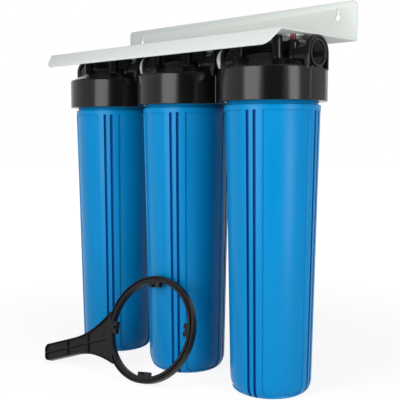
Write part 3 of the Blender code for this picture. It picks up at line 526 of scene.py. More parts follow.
def skin_finish(name, colour, patch=1.12, gloss=(0.3, 0.4), grain=900, bump=0.05,
                specular=0.5):
    """A moulded plastic or paint: slight patches of tone, uneven gloss and a fine grain."""
    name += "_finish"
    if name in bpy.data.materials:
        return bpy.data.materials[name]
    finish = new_material(name, {"Specular IOR Level": specular})
    tree = finish.node_tree
    shader = tree.nodes["Principled BSDF"]
    skin = add_node(tree, "ShaderNodeGroup", {
        "Grain Size": grain, "Patch Size": 12, "Gloss Low": gloss[0], "Gloss High": gloss[1],
        "Colour": colour, "Patch Colour": (*(min(1, part * patch) for part in colour[:3]), 1),
    }, node_tree=moulded_skin_group())
    raised = add_node(tree, "ShaderNodeBump", {"Strength": bump, "Distance": 0.0002})
    connect(tree, (skin, "Colour", shader, "Base Color"),
            (skin, "Roughness", shader, "Roughness"), (skin, "Height", raised, "Height"),
            (raised, "Normal", shader, "Normal"))
    return finish


def metal_finish(name, colour, roughness):
    """Plated steel with fine scuffs."""
    finish = skin_finish(name, colour, patch=0.86, gloss=(roughness, roughness + 0.12),
                         grain=2400, bump=0.08)
    set_inputs(finish.node_tree.nodes["Principled BSDF"], {"Metallic": 1})
    return finish


def wound_finish(name, colour, turns, bump):
    """Filter media: fibres over shallow rings that run round the cartridge."""
    finish = skin_finish(name, colour, patch=0.9, gloss=(0.85, 0.95), grain=420, bump=0.6)
    tree = finish.node_tree
    fibres = tree.nodes["Bump"]
    place = add_node(tree, "ShaderNodeTexCoord")
    rings = add_node(tree, "ShaderNodeTexWave", {"Scale": turns, "Distortion": 1.5, "Detail": 2},
                     bands_direction="Z")
    raised = add_node(tree, "ShaderNodeBump", {"Strength": bump, "Distance": 0.001})
    connect(tree, (place, "Object", rings, "Vector"), (rings, "Fac", raised, "Height"),
            (fibres, "Normal", raised, "Normal"),
            (raised, "Normal", tree.nodes["Principled BSDF"], "Normal"))
    return finish


def band_angle(point):
    """Degrees from the middle of the nearest rib band, before a sump is turned."""
    degrees = (math.degrees(math.atan2(point.y, point.x)) + BAND_OFF_DEGREES) % 90
    return min(degrees, 90 - degrees)


def panel_corner_share(across, above):
    """How far a point is from a panel corner's middle, as a share of its faceted radius."""
    away = math.hypot(PANEL_CORNER - across, PANEL_CORNER - above)
    facet = math.pi / 2 / PANEL_STEPS
    turn = math.atan2(PANEL_CORNER - above, PANEL_CORNER - across) % facet - facet / 2
    return away * math.cos(turn) / (PANEL_CORNER * math.cos(facet / 2))


def in_panel(middle):
    """Whether a point of the wall lies in one of the four panels, with their round corners."""
    across = math.radians(band_angle(middle) - BAND_HALF_DEGREES) * middle.xy.length
    above = middle.z - PANEL_LOW
    if across < 0 or above < 0:
        return False
    if across >= PANEL_CORNER or above >= PANEL_CORNER:
        return True
    return panel_corner_share(across, above) < 1


def in_groove(middle):
    """Whether a point of the wall lies in one of the grooves."""
    return GROOVE_DEGREES[0] < band_angle(middle) < GROOVE_DEGREES[1]


def on_outside(middle, normal):
    """Whether a face is on a sump's outer wall below the collar."""
    return (middle.xy.length > OUTSIDE_FROM and FOOT_FLAT < middle.z < COLLAR_LOW - LAP
            and normal.xy.dot(middle.xy) > 0)


def score_panel_corners(piece, reach):
    """Splits the wall's faces along the round lower corners of the panels."""
    facet = math.pi / 2 / PANEL_STEPS
    ends = [(PANEL_CORNER * (1 - math.cos(facet * step)),
             PANEL_CORNER * (1 - math.sin(facet * step))) for step in range(PANEL_STEPS + 1)]
    for band in range(4):
        for hand in (-1, 1):
            edge_angle = math.radians(90 * band - BAND_OFF_DEGREES + hand * BAND_HALF_DEGREES)
            for (across, above), (further, higher) in zip(ends, ends[1:]):
                angle = edge_angle + hand * (across + further) / 2 / reach
                out = Vector((math.cos(angle), math.sin(angle), 0))
                along = Vector((-out.y, out.x, 0)) * hand * (further - across)
                along.z = higher - above
                spot = out * reach
                spot.z = PANEL_LOW + (above + higher) / 2
                pick(piece, "FACE", lambda middle, normal:
                     middle.z < PANEL_LOW + PANEL_CORNER + PAST
                     and (middle - out * reach).xy.length < PANEL_CORNER
                     and normal.xy.dot(middle.xy) > 0 and middle.xy.length > reach - 0.02)
                bpy.ops.mesh.bisect(plane_co=spot, plane_no=out.cross(along))


def wall_radius(look, height):
    """Outer radius of a sump's taper at a height."""
    return look.foot_radius + (look.shoulder_radius - look.foot_radius) * height / SHOULDER_Z


def sump_profile(look):
    """Half section of a sump's wall, from its foot up the outside and down the inside."""
    profile = []
    for degrees in CORNER_DEGREES:
        height = CORNER_HEIGHT * (1 - math.cos(math.radians(degrees)))
        drop = 1 - math.sin(math.radians(degrees))
        profile.append((wall_radius(look, CORNER_HEIGHT) - CORNER_WIDTH * drop, height))
    profile[0] = (profile[0][0], 0)
    profile += [(wall_radius(look, height), height) for height in WALL_HEIGHTS]
    collar = wall_radius(look, COLLAR_LOW)
    profile += [(collar, COLLAR_LOW), (collar, SHOULDER_Z - 0.0012),
                (collar - 0.0004, SHOULDER_Z - 0.0004), (collar - 0.0012, SHOULDER_Z),
                (NECK, SHOULDER_Z), (NECK, RIM_Z - 0.0006), (NECK - 0.0006, RIM_Z),
                (SEAL_MIDDLE + 0.002, RIM_Z), (SEAL_MIDDLE + 0.002, SEAL_LOW),
                (SEAL_MIDDLE - 0.002, SEAL_LOW), (SEAL_MIDDLE - 0.002, RIM_Z),
                (RIM_INSIDE + 0.0006, RIM_Z), (RIM_INSIDE, RIM_Z - 0.0006),
                (FLOOR_INSIDE, 0.024), (FLOOR_INSIDE - 0.004, 0.013),
                (FLOOR_INSIDE - 0.014, 0.006)]
    return profile


class FILTER_OT_sumps(bpy.types.Operator):
    """Makes the blue sumps with their rib bands, panels and threads, with shade painted into the
    grooves
    """

    bl_idname = "filter_housing.sumps"
    bl_label = "Sumps"

    def execute(self, context):
        look = context.scene.sump_look
        plastic = skin_finish("blue_polypropylene", look.colour, patch=1.08, gloss=(0.27, 0.34),
                              bump=0.03, specular=0.12)
        shade = skin_finish("blue_painted_groove_shade", look.painted_groove_shade, gloss=(0.5, 0.6), bump=0.03,
                            specular=0.1)
        pattern = turned("sump_pattern", sump_profile(look), SUMP_ROUND)
        edit(pattern)
        score_panel_corners(pattern, look.foot_radius)
        for inside, edge, depth in ((in_panel, EDGE, look.panel_depth),
                                    (in_groove, EDGE / 2, look.groove_depth)):
            pick(pattern, "FACE", lambda middle, normal: on_outside(middle, normal)
                 and inside(middle))
            bpy.ops.mesh.inset(thickness=edge, depth=-depth, use_even_offset=True)
        leave_edit()
        soften(pattern, EDGE, 2, 34)
        # Painted shade: the deep faces of the grooves get a second, darker blue finish.
        pattern.data.materials.append(plastic)
        pattern.data.materials.append(shade)
        edit(pattern)
        pick(pattern, "FACE", lambda middle, normal: on_outside(middle, middle)
             and in_groove(middle) and middle.xy.length < wall_radius(look, middle.z) - LAP)
        pattern.active_material_index = 1
        bpy.ops.object.material_slot_assign()
        leave_edit()
        thread = coil("thread_pattern", THREAD_WIRE, THREAD_REACH, THREAD_LOW, THREAD_RISE,
                      THREAD_TURNS, 240, 4)
        merge(pattern, [thread])
        for stage, x in STAGE_X.items():
            turn = math.radians(RIB_TURN_DEGREES[stage] + BAND_OFF_DEGREES - 90)
            sump = copy_of(pattern, f"blue_sump_{stage}", (x, 0, 0), turn)
            dress(sump, None, f"sump_body_{stage}", [f"sump_{stage}"])
        bpy.data.objects.remove(pattern)
        return {"FINISHED"}


class FILTER_OT_seals(bpy.types.Operator):
    """Makes the round rubber seals in the rims of the sumps, and finishes the relief seals"""

    bl_idname = "filter_housing.seals"
    bl_label = "Seals"

    def execute(self, context):
        rubber = skin_finish("seal_rubber", (0.015, 0.015, 0.015, 1), gloss=(0.55, 0.7),
                             bump=0.15)
        for stage, x in STAGE_X.items():
            ring = primitive("torus", f"rim_ring_{stage}", major_radius=SEAL_MIDDLE,
                             minor_radius=SEAL_WIRE, major_segments=96, minor_segments=12,
                             location=(x, 0, RIM_Z + 0.0008 - SEAL_WIRE))
            dress(ring, rubber, f"sump_body_{stage}", [f"rim_seal_{stage}"])
            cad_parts[f"relief_seal_{stage}"].data.materials[0] = rubber
        return {"FINISHED"}


class FILTER_OT_cartridges(bpy.types.Operator):
    """Finishes the filter cartridges inside the sumps"""

    bl_idname = "filter_housing.cartridges"
    bl_label = "Cartridges"

    def execute(self, context):
        fibre = wound_finish("white_fibre", (0.80, 0.79, 0.75, 1), 60, 0.5)
        carbon = wound_finish("carbon_block", (0.02, 0.02, 0.022, 1), 12, 0.1)
        cap = skin_finish("cap_plastic", (0.72, 0.72, 0.70, 1), gloss=(0.42, 0.52))
        for stage in STAGE_X:
            media = carbon if stage == "middle" else fibre
            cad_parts[f"media_{stage}"].data.materials[0] = media
            for node in ("core", "end_cap_bottom", "end_cap_top"):
                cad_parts[f"{node}_{stage}"].data.materials[0] = cap
        return {"FINISHED"}


def span(side, near, far):
    """Two places along an axis, in rising order, on one side of the middle."""
    return sorted((side * near, side * far))


def arch(name, half_width, low, near, far, side):
    """An end plate's shape: straight sides, a half round top, and its thickness along X."""
    start, end = span(side, near, far)
    return join(bar_along_x(name, half_width, start, end),
                block("legs", (start, -half_width, low), (end, half_width, PORT_Z)))


def cut_end_face(head, side):
    """Cuts the recess round a port and its two deeper corners."""
    recess = arch("recess", RECESS_HALF, PORT_Z - RECESS_DROP, PORT_FACE - RECESS_DEPTH,
                  PORT_FACE + PAST, side)
    ends = span(side, PORT_FACE - 2 * RECESS_DEPTH, PORT_FACE + 2 * PAST)
    cut(recess, bar_along_x("boss", BOSS_RADIUS, *ends))
    cut(head, recess)
    ends = span(side, PORT_FACE - POCKET_DEPTH - PAST, PORT_FACE)
    start, end = span(side, PORT_FACE - POCKET_DEPTH, PORT_FACE - LAP)
    for hand in (-1, 1):
        near, far = span(hand, POCKET_NEAR, POCKET_NEAR + POCKET_SIZE)
        pocket = block("pocket", (start, near, PORT_Z - POCKET_DROP),
                       (end, far, PORT_Z - POCKET_DROP + POCKET_SIZE))
        cut(pocket, bar_along_x("boss", BOSS_RADIUS + LAP, *ends))
        cut(head, pocket)


def port_thread(look, side):
    """The thread inside a port."""
    half = PORT_THREAD_LENGTH / 2
    thread = coil("port_thread", PORT_THREAD_WIRE, look.port_radius + PORT_THREAD_WIRE, -half,
                  PORT_THREAD_LENGTH, PORT_THREAD_LENGTH / look.thread_pitch, 280, 4)
    return settle(thread, (side * (PORT_FACE - RECESS_DEPTH - half), 0, PORT_Z), "y",
                  side * math.pi / 2)


def make_head(look):
    """One black head for a stage at x = 0."""
    ring = look.ring_radius
    head = turned("head_pattern", [
        (0.067, CHAMBER_TOP), (0.067, 0.5221), (0.0792, 0.5221), (0.0792, HEAD_LOW + 0.0015),
        (0.0804, HEAD_LOW), (ring - 0.0008, HEAD_LOW), (ring, HEAD_LOW + 0.0008),
        (ring, RING_TOP - 0.004), (ring - 0.0006, RING_TOP - 0.0018),
        (ring - 0.0018, RING_TOP - 0.0006), (ring - 0.004, RING_TOP),
        (0.062, 0.5574), (0.0475, 0.5647), (0.046, 0.5653), (0.030, 0.571)], HEAD_ROUND)
    shapes = [bar_along_x("pipe", PIPE_RADIUS, -PLATE_INNER - LAP, PLATE_INNER + LAP)]
    for side in (-1, 1):
        plate = arch("end_plate", PLATE_HALF, RING_TOP - 2 * PAST, PLATE_INNER, PORT_FACE, side)
        shapes.append(soften(plate, 0.0009, 3, 40))
        start, end = span(side, PLATE_INNER, PORT_FACE - 0.0001)
        foot = block("foot", (start, -FOOT_HALF, HEAD_LOW), (end, FOOT_HALF, RING_TOP - EDGE))
        shapes.append(soften(foot, 0.0022, 4, 40))
        barrel = turned("barrel", [(0.021, 0.049), (0.0255, 0.0525), (0.0268, 0.056),
                                   (0.027, 0.060), (0.027, 0.085)], MEDIUM)
        shapes.append(settle(barrel, (0, 0, PORT_Z - BARREL_DROP), "y", side * math.pi / 2))
    foot = look.pillar_radius
    for place in PILLARS:
        shapes.append(turned("pillar", [
            (foot + 0.0012, 0.548), (foot + 0.0010, 0.5605), (foot + 0.0003, 0.5625),
            (foot, 0.565), (foot - 0.0003, HEAD_SEAT - 0.0006), (foot - 0.0009, HEAD_SEAT)],
            SMALL, place))
    shapes.append(turned("relief_boss", [(0.0088, 0.548), (0.0085, 0.5845), (0.0079, 0.5855)],
                         SMALL, RELIEF_AT))
    shapes.append(turned("tube", [(0.0115, TUBE_LOW), (0.0125, 0.522), (0.0125, 0.529),
                                  (0.020, 0.529), (0.020, CHAMBER_TOP + LAP)], MEDIUM))
    join(head, *shapes)
    for side in (-1, 1):
        cut_end_face(head, side)
    cut_passages(head, look)
    return merge(head, [port_thread(look, -1), port_thread(look, 1)])


def cut_passages(head, look):
    """Cuts the ports, the water's way, the bolt holes and the relief button's well."""
    bore = look.port_radius + 0.0009
    past = PORT_SHOULDER + PAST
    cutters = [bar_along_x("outlet", WATERWAY, -LAP, past, sides=SMALL),
               bar_along_x("inlet", WATERWAY, -past, DROP_X + LAP, sides=SMALL)]
    for side in (-1, 1):
        port = turned("port", [
            (bore - 0.001, PORT_SHOULDER), (bore, PORT_SHOULDER + LAP),
            (bore, PORT_FACE - 0.0016), (bore + 0.0012, PORT_FACE + 0.0004),
            (bore + 0.0012, PORT_FACE + PAST)], MEDIUM)
        cutters.append(settle(port, (0, 0, PORT_Z), "y", side * math.pi / 2))
    for name, low, x in (("drop", CHAMBER_TOP - PAST, DROP_X), ("tube_bore", TUBE_LOW - PAST, 0)):
        cutters.append(rod(name, TUBE_BORE, low, PORT_Z, SMALL, (x, 0)))
    for place in PILLARS:
        cutters.append(rod("bolt_hole", BOLT_BORE, HEAD_SEAT - BOLT_DEPTH, HEAD_SEAT + PAST,
                           SMALL, place))
    cutters.append(turned("well", [(STEM_BORE, CHAMBER_TOP - PAST), (STEM_BORE, WELL_LOW),
                                   (WELL_BORE, WELL_LOW), (WELL_BORE, HEAD_SEAT)], SMALL,
                          RELIEF_AT))
    cut(head, *cutters)


class FILTER_OT_heads(bpy.types.Operator):
    """Makes the black heads with their ports, pillars and end plates"""

    bl_idname = "filter_housing.heads"
    bl_label = "Heads"

    def execute(self, context):
        look = context.scene.head_look
        plastic = skin_finish("black_polypropylene", look.colour, patch=1.4, gloss=(0.16, 0.21),
                              bump=0.02, specular=0.25)
        pattern = make_head(look)
        for stage, x in STAGE_X.items():
            head = copy_of(pattern, f"black_head_{stage}", (x, 0, 0))
            dress(head, plastic, "frame", [f"head_{stage}"])
        bpy.data.objects.remove(pattern)
        return {"FINISHED"}


class FILTER_OT_nipples(bpy.types.Operator):
    """Makes the nipples between the heads"""

    bl_idname = "filter_housing.nipples"
    bl_label = "Nipples"

    def execute(self, context):
        look = context.scene.fitting_look
        plastic = skin_finish("nipple_plastic", look.nipple_colour, gloss=(0.38, 0.48))
        half, reach = NIPPLE_HALF, NIPPLE_REACH
        collar = look.collar_radius
        end = [(collar, half - NIPPLE_EDGE), (collar - NIPPLE_EDGE, half), (NIPPLE_PIPE, half),
               (NIPPLE_PIPE, reach - LAP), (NIPPLE_PIPE - LAP, reach)]
        profile = [(radius, -height) for radius, height in reversed(end)] + end
        for name, x, node in (("white_nipple_left", -PITCH / 2, "nipple_left_to_middle"),
                              ("white_nipple_right", PITCH / 2, "nipple_middle_to_right")):
            nipple = turned(name, profile, 96)
            cut(nipple, rod("bore", NIPPLE_BORE, -reach - PAST, reach + PAST, MEDIUM))
            settle(nipple, (x, 0, PORT_Z), "y", math.pi / 2)
            dress(nipple, plastic, "frame", [node])
        return {"FINISHED"}


class FILTER_OT_relief(bpy.types.Operator):
    """Makes the red relief buttons, with shade painted into their red, and their springs"""

    bl_idname = "filter_housing.relief"
    bl_label = "Pressure relief"

    def execute(self, context):
        radius = context.scene.fitting_look.button_radius
        # The button's finish takes the darkened red, which paints the shade under the shelf.
        red = skin_finish("button_red", context.scene.fitting_look.button_painted_shade_colour,
                          gloss=(0.34, 0.44))
        wire = metal_finish("spring_wire", (0.55, 0.55, 0.57, 1), 0.25)
        for stage, x in STAGE_X.items():
            place = (x + RELIEF_AT[0], RELIEF_AT[1])
            button = turned(f"red_button_{stage}", [
                (0.0036, 0.5312), (0.0040, 0.5316), (0.0040, 0.5332), (0.0023, 0.5332),
                (0.0023, 0.5786), (radius - 0.0004, 0.5786), (radius, 0.5790),
                (radius, 0.6002), (radius - 0.0003, 0.6009), (radius - 0.0010, 0.6014),
                (0.0012, 0.60145)], SMALL, place)
            dress(button, red, f"relief_body_{stage}", [f"relief_button_{stage}"])
            spring = coil(f"relief_coil_{stage}", SPRING_WIRE, SPRING_REACH,
                          WELL_LOW + GAP + SPRING_WIRE, SPRING_RISE, SPRING_TURNS, 96, 8)
            settle(spring, (*place, 0))
            dress(spring, wire, "frame", [f"relief_spring_{stage}"], 60)
            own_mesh(spring)
        return {"FINISHED"}


class FILTER_OT_bolts(bpy.types.Operator):
    """Makes the flanged hex bolts that hold the heads"""

    bl_idname = "filter_housing.bolts"
    bl_label = "Bolts"

    def execute(self, context):
        zinc = metal_finish("zinc_plate", (0.50, 0.51, 0.53, 1), 0.28)
        under = SHELF_TOP + GAP
        shank = turned("bolt_pattern", [
            (0.0022, under - 0.018), (0.0030, under - 0.0172), (0.0030, under),
            (0.0072, under), (0.0075, under + 0.0003), (0.0072, under + 0.0011),
            (0.0058, under + 0.0014)], SMALL)
        head = rod("hexagon", 0.0055, under + LAP, under + 0.0057, 6)
        crown = turned("crown", [(0.0056, under), (0.0056, under + 0.0048),
                                 (0.0046, under + 0.0057)], SMALL)
        join(shank, join(head, crown, operation="INTERSECT"))
        for stage, x in STAGE_X.items():
            for number, (across, along) in enumerate(PILLARS, start=1):
                bolt = copy_of(shank, f"hex_bolt_{stage}_{number}", (x + across, along, 0),
                               math.radians(17 * number))
                dress(bolt, zinc, "frame", [f"bolt_{stage}_{number}"])
        bpy.data.objects.remove(shank)
        return {"FINISHED"}


def bend(start, corner, end, steps=6):
    """Points round one fold in a sheet's middle line, in (y, z)."""
    back, ahead = (start - corner).normalized(), (end - corner).normalized()
    half = back.angle(ahead) / 2
    middle = corner + (back + ahead).normalized() * (FOLD_RADIUS / math.sin(half))
    first = corner + back * (FOLD_RADIUS / math.tan(half)) - middle
    last = corner + ahead * (FOLD_RADIUS / math.tan(half)) - middle
    sweep = first.angle_signed(last)
    return [middle + Matrix.Rotation(-sweep * step / steps, 2) @ first
            for step in range(steps + 1)]


def cut_bracket(bracket):
    """Cuts the shelf's bolt and button holes and the plate's keyholes."""
    cutters = []
    for x in STAGE_X.values():
        holes = [("bolt_hole", BOLT_HOLE, SMALL, place) for place in PILLARS]
        holes.append(("button_hole", BUTTON_HOLE, MEDIUM, RELIEF_AT))
        for name, radius, sides, (across, along) in holes:
            cutters.append(rod(name, radius, SHELF_UNDER - PAST, SHELF_TOP + PAST, sides,
                               (x + across, along)))
    for side in (-1, 1):
        for shape in (rod("keyhole", KEYHOLE_RADIUS, -PAST, PAST, SMALL),
                      block("slot", (-SLOT_HALF, -SLOT_LENGTH, -PAST), (SLOT_HALF, 0, PAST)),
                      rod("slot_end", SLOT_HALF, -PAST, PAST, SMALL, (0, -SLOT_LENGTH))):
            cutters.append(settle(shape, (side * KEYHOLE_AT[0], *KEYHOLE_AT[1:]), "x",
                                  -math.pi / 2))
    return cut(bracket, *cutters)


class FILTER_OT_bracket(bpy.types.Operator):
    """Folds the pale sheet bracket and cuts its holes and corners"""

    bl_idname = "filter_housing.bracket"
    bl_label = "Bracket"

    def execute(self, context):
        middle = SHELF_UNDER + SHEET / 2
        low = Vector((SHELF_FRONT - LIP_OUT, middle - LIP_DROP))
        fold, back = Vector((SHELF_FRONT, middle)), Vector((PLATE_MIDDLE_Y, middle))
        top = Vector((PLATE_MIDDLE_Y, PLATE_TOP))
        slant = (low - fold).normalized()
        path = [low, low - slant * LIP_LINE, *bend(low, fold, back), *bend(fold, back, top),
                top - Vector((0, PLATE_LINE)), top]
        bracket = lone_edge("painted_bracket", (0, *path[0]), 2 * BRACKET_HALF, 0)
        for here, after in zip(path, path[1:]):
            draw_out(0, *(after - here))
        trim_bracket(bracket)
        apply(bracket, "SOLIDIFY", thickness=SHEET, offset=0, use_even_offset=True)
        face_out(bracket)
        soften(bracket, EDGE, 2, 50)
        cut_bracket(bracket)
        paint = skin_finish("bracket_paint", context.scene.bracket_look.colour, patch=1.03,
                            gloss=(0.42, 0.5), grain=1600, bump=0.05, specular=0.4)
        dress(bracket, paint, "frame", ["bracket"])
        return {"FINISHED"}


def trim_bracket(bracket):
    """Draws in the lip's two lower corners and rounds all four outer corners."""
    edit(bracket)
    low = SHELF_FRONT - LIP_OUT + LAP
    for start, end, inwards in ((-1, low, LIP_DRAWN_IN),
                                (low, SHELF_FRONT - 2 * FOLD_RADIUS, FOLD_DRAWN_IN)):
        pick(bracket, "VERT", lambda place, normal: start < place.y < end)
        bpy.ops.transform.resize(value=(1 - inwards / BRACKET_HALF, 1, 1),
                                 center_override=(0, 0, 0))
    pick(bracket, "VERT", lambda place, normal: place.y < low)
    bpy.ops.mesh.bevel(offset=LIP_CORNER, segments=6, affect="VERTICES")
    pick(bracket, "VERT", lambda place, normal: place.z > PLATE_TOP - LAP)
    bpy.ops.mesh.bevel(offset=PLATE_CORNER, segments=6, affect="VERTICES")
    leave_edit()


def handle_half(distance, start):
    """Half the handle's width at a distance from the ring's centre."""
    share = min(max((distance - start) / ((WRENCH_REACH - start) * WRENCH_FLARE), 0), 1)
    return WRENCH_END_HALF + (WRENCH_ROOT_HALF - WRENCH_END_HALF) * (1 - share) ** 2


def handle_shape(name, look, drawn_in, low, high):
    """The handle's outline, drawn in evenly by some width, between two levels."""
    inner = look.ring_radius - look.ring_wall
    first, last = inner + LAP, WRENCH_REACH - drawn_in
    flare_end = inner + (WRENCH_REACH - inner) * WRENCH_FLARE
    stations = [first + (flare_end - first) * step / 20 for step in range(21)] + [last]
    shape = lone_edge(name, (first, 0, low), 2 * (handle_half(first, inner) - drawn_in), 1)
    for here, after in zip(stations, stations[1:]):
        draw_out(after - here, 0, 0)
        share = (handle_half(after, inner) - drawn_in) / (handle_half(here, inner) - drawn_in)
        bpy.ops.transform.resize(value=(1, share, 1), center_override=(after, 0, low))
    edit(shape, "SELECT")
    draw_out(0, 0, high - low)
    face_out(shape)
    edit(shape)
    pick(shape, "EDGE",
         lambda place, line: place.x > last - LAP and abs(line.z) > (high - low) / 2)
    bpy.ops.mesh.bevel(offset=WRENCH_CORNER - drawn_in, segments=6)
    leave_edit()
    return shape


def make_handle(look):
    """The handle, with a raised edge, a rib along it and two across it, on both faces."""
    half = look.depth / 2
    handle = soften(handle_shape("handle", look, 0, -half, half), 0.0006, 2, 50)
    start, end = look.ring_radius + look.rib, WRENCH_REACH - look.rib
    for low, high in ((WEB_HALF, half + PAST), (-half - PAST, -WEB_HALF)):
        pocket = handle_shape("pocket", look, look.rib, low, high)
        past = (low - LAP, high + LAP)
        ribs = [rod("arc", look.ring_radius + look.rib, *past, ROUND),
                block("rib", (0, -look.rib / 2, past[0]), (WRENCH_REACH, look.rib / 2, past[1]))]
        for share in CROSS_SHARES:
            middle = start + (end - start) * share
            ribs.append(block("rib", (middle - look.rib / 2, -CROSS_REACH, past[0]),
                              (middle + look.rib / 2, CROSS_REACH, past[1])))
        cut(handle, cut(pocket, *ribs))
    return handle


def make_ring(look):
    """The ring, with a groove round its front and rounded edges, and its four lugs."""
    outer, half = look.ring_radius, look.depth / 2
    inner = outer - look.ring_wall
    ring = turned("ring_wrench", [
        (outer - RING_EDGE, -half), (outer, RING_EDGE - half), (outer, half - RING_EDGE),
        (outer - RING_EDGE, half), (outer - 0.0030, half), (outer - 0.0034, half - 0.0034),
        (outer - 0.0058, half - 0.0034), (outer - 0.0062, half), (inner - 0.004, half)], ROUND)
    hole = turned("hole", [(inner + 0.0035, -half - 0.0023), (inner, RING_EDGE - half),
                           (inner, half - RING_EDGE), (inner + 0.0035, half + 0.0023)], ROUND)
    cut(ring, hole)
    lugs = []
    for number in range(4):
        angle = math.radians(LUG_DEGREES + 90 * number)
        base = block("lug", (inner - 0.0085, -LUG_HALF, half - LUG_HALF),
                     (inner + 0.0050, LUG_HALF, half - 0.0001))
        soften(base, 0.0008, 2)
        notch = block("notch", (inner - 0.011, -NOTCH_HALF, half - 0.0045),
                      (inner - 0.004, NOTCH_HALF, half + 0.002))
        cut(base, notch)
        lugs.append(settle(base, turn=angle))
    return join(ring, *lugs)


class FILTER_OT_wrench(bpy.types.Operator):
    """Makes the ring wrench and leans it where the frame has it"""

    bl_idname = "filter_housing.wrench"
    bl_label = "Ring wrench"

    def execute(self, context):
        look = context.scene.wrench_look
        inner = look.ring_radius - look.ring_wall
        handle = make_handle(look)
        past = look.depth
        cut(handle, rod("hole", inner + LAP, -past, past, ROUND))
        wrench = join(make_ring(look), handle)
        right = Vector((math.cos(YAW), math.sin(YAW), 0))
        forward = Vector((math.sin(YAW), -math.cos(YAW), 0))
        up = Vector((0, 0, 1)) * math.cos(LEAN) - forward * math.sin(LEAN)
        front = forward * math.cos(LEAN) + Vector((0, 0, 1)) * math.sin(LEAN)
        reach, half = WRENCH_REACH - WRENCH_CORNER, WRENCH_END_HALF - WRENCH_CORNER
        slope = (math.asin((look.ring_radius - WRENCH_CORNER) / math.hypot(reach, half))
                 - math.atan2(half, reach))
        along = -right * math.cos(slope) - up * math.sin(slope)
        wrench.matrix_world = Matrix((along, front.cross(along), front)).transposed().to_4x4()
        hold(wrench)
        name_it("ring_wrench")
        low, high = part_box("wrench")
        spans = [sorted(values) for values in zip(*(corner.co for corner in wrench.data.vertices))]
        settle(wrench, [(start + end - span[0] - span[-1]) / 2
                        for start, end, span in zip(low, high, spans)])
        plastic = skin_finish("wrench_plastic", look.colour, patch=1.3, gloss=(0.30, 0.38),
                              bump=0.05, specular=0.16)
        dress(wrench, plastic, "wrench_body", ["wrench"])
        return {"FINISHED"}


def facing(target, place, forward):
    """The turn that points one axis of a lamp or card at a target."""
    return (Vector(target) - Vector(place)).to_track_quat(forward, "Y").to_euler()


def softbox(name, place, target, size, power):
    """A tall soft lamp that faces a point."""
    light = bpy.data.lights.new(name, "AREA")
    light.shape = "RECTANGLE"
    light.size, light.size_y = size
    light.energy = power
    lamp = bpy.data.objects.new(name, light)
    lamp.location = place
    lamp.rotation_euler = facing(target, place, "-Z")
    bpy.context.scene.collection.objects.link(lamp)


def seen_directly(tree):
    """The node and output that give 1 for what the camera, gloss and glass show, and else 0."""
    ray = add_node(tree, "ShaderNodeLightPath")
    seen = (ray, "Is Camera Ray")
    for other in ("Is Glossy Ray", "Is Transmission Ray"):
        either = add_node(tree, "ShaderNodeMath", operation="MAXIMUM")
        connect(tree, (*seen, either, 0), (ray, other, either, 1))
        seen = (either, "Value")
    return seen


def white_surround(strength):
    """A white backdrop for what the camera, gloss and glass see, and an even pale light."""
    world = bpy.data.worlds.new("studio_white")
    bpy.context.scene.world = world
    world.use_nodes = True
    tree = world.node_tree
    shown = set_inputs(tree.nodes["Background"], {"Color": (1, 1, 1, 1), "Strength": 1})
    lit = add_node(tree, "ShaderNodeBackground",
                   {"Color": (0.55, 0.68, 1, 1), "Strength": strength})
    mixer = add_node(tree, "ShaderNodeMixShader")
    connect(tree, (*seen_directly(tree), mixer, "Fac"), (lit, "Background", mixer, 1),
            (shown, "Background", mixer, 2),
            (mixer, "Shader", tree.nodes["World Output"], "Surface"))


def studio_paper():
    """White paper that keeps the object's shadow near it and fades to the white surround."""
    paper = new_material("studio_paper", {
        "Base Color": (0.9, 0.9, 0.9, 1), "Roughness": 0.9, "Specular IOR Level": 0.1})
    tree = paper.node_tree
    glow = add_node(tree, "ShaderNodeEmission", {"Strength": 1.07})
    place = add_node(tree, "ShaderNodeTexCoord")
    away = add_node(tree, "ShaderNodeVectorMath", operation="LENGTH")
    fade = add_node(tree, "ShaderNodeMapRange", {"From Min": 0.35, "From Max": 1.3,
                                                 "To Min": 0.82})
    share = add_node(tree, "ShaderNodeMath", operation="MULTIPLY")
    mixer = add_node(tree, "ShaderNodeMixShader")
    connect(tree, (place, "Object", away, "Vector"), (away, "Value", fade, "Value"),
            (fade, "Result", share, 0), (*seen_directly(tree), share, 1),
            (share, "Value", mixer, "Fac"),
            (tree.nodes["Principled BSDF"], "BSDF", mixer, 1), (glow, "Emission", mixer, 2),
            (mixer, "Shader", tree.nodes["Material Output"], "Surface"))
    return paper


def dark_card(name, place, target, size):
    """A black card beside the camera that keeps the gloss between the softboxes dark."""
    card = primitive("plane", name, (*size, 1), size=1)
    card.location = place
    card.rotation_euler = facing(target, place, "Z")
    card.data.materials.append(new_material("card_black", {
        "Base Color": (0.01, 0.01, 0.01, 1), "Roughness": 1}))
    card.visible_camera = False


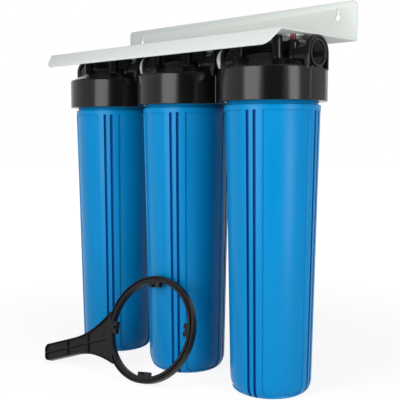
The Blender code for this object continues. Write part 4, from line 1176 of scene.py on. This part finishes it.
class FILTER_OT_studio(bpy.types.Operator):
    """Sets up the floor, the lamps, the white surround and the camera"""

    bl_idname = "filter_housing.studio"
    bl_label = "Studio"

    def execute(self, context):
        look = context.scene.studio_look
        floor = primitive("circle", "studio_floor", vertices=96, radius=FLOOR_RADIUS,
                          fill_type="NGON", location=(0, 0, FLOOR_Z))
        floor.data.materials.append(studio_paper())
        softbox("front_softbox", *FRONT_SOFTBOX, look.key_power)
        softbox("side_softbox", *SIDE_SOFTBOX, look.side_power)
        dark_card("camera_card", *CARD)
        white_surround(look.surround)
        lens = bpy.data.cameras.new("photo_camera")
        lens.sensor_width = SENSOR_MM
        lens.lens = LENS_MM
        camera = bpy.data.objects.new("photo_camera", lens)
        camera.location = CAMERA_AT
        camera.rotation_euler = [math.radians(degrees) for degrees in CAMERA_DEGREES]
        context.scene.collection.objects.link(camera)
        context.scene.camera = camera
        context.scene.view_settings.view_transform = "Standard"
        return {"FINISHED"}


PROPERTY_GROUPS = {"sump_look": SumpLook, "head_look": HeadLook, "fitting_look": FittingLook,
                   "bracket_look": BracketLook, "wrench_look": WrenchLook,
                   "studio_look": StudioLook}
OPERATORS = (FILTER_OT_sumps, FILTER_OT_seals, FILTER_OT_cartridges, FILTER_OT_heads,
             FILTER_OT_nipples, FILTER_OT_relief, FILTER_OT_bolts, FILTER_OT_bracket,
             FILTER_OT_wrench, FILTER_OT_studio)


class FILTER_PT_panel(bpy.types.Panel):
    """Lists the pieces of the filter housing"""

    bl_idname = "FILTER_PT_panel"
    bl_label = "Filter housing"
    bl_space_type = "VIEW_3D"
    bl_region_type = "UI"
    bl_category = "Filter housing"

    def draw(self, context):
        for operator in OPERATORS:
            self.layout.operator(operator.bl_idname)


def register():
    """Adds the properties, the operators and the panel to Blender."""
    for name, group in PROPERTY_GROUPS.items():
        bpy.utils.register_class(group)
        setattr(bpy.types.Scene, name, bpy.props.PointerProperty(type=group))
    for operator in OPERATORS:
        bpy.utils.register_class(operator)
    bpy.utils.register_class(FILTER_PT_panel)


def unregister():
    """Takes them out again."""
    bpy.utils.unregister_class(FILTER_PT_panel)
    for operator in reversed(OPERATORS):
        bpy.utils.unregister_class(operator)
    for name, group in PROPERTY_GROUPS.items():
        delattr(bpy.types.Scene, name)
        bpy.utils.unregister_class(group)


def main():
    """Makes every piece in turn."""
    register()
    for operator in OPERATORS:
        group, name = operator.bl_idname.split(".")
        getattr(getattr(bpy.ops, group), name)()


if __name__ == "__main__":
    main()
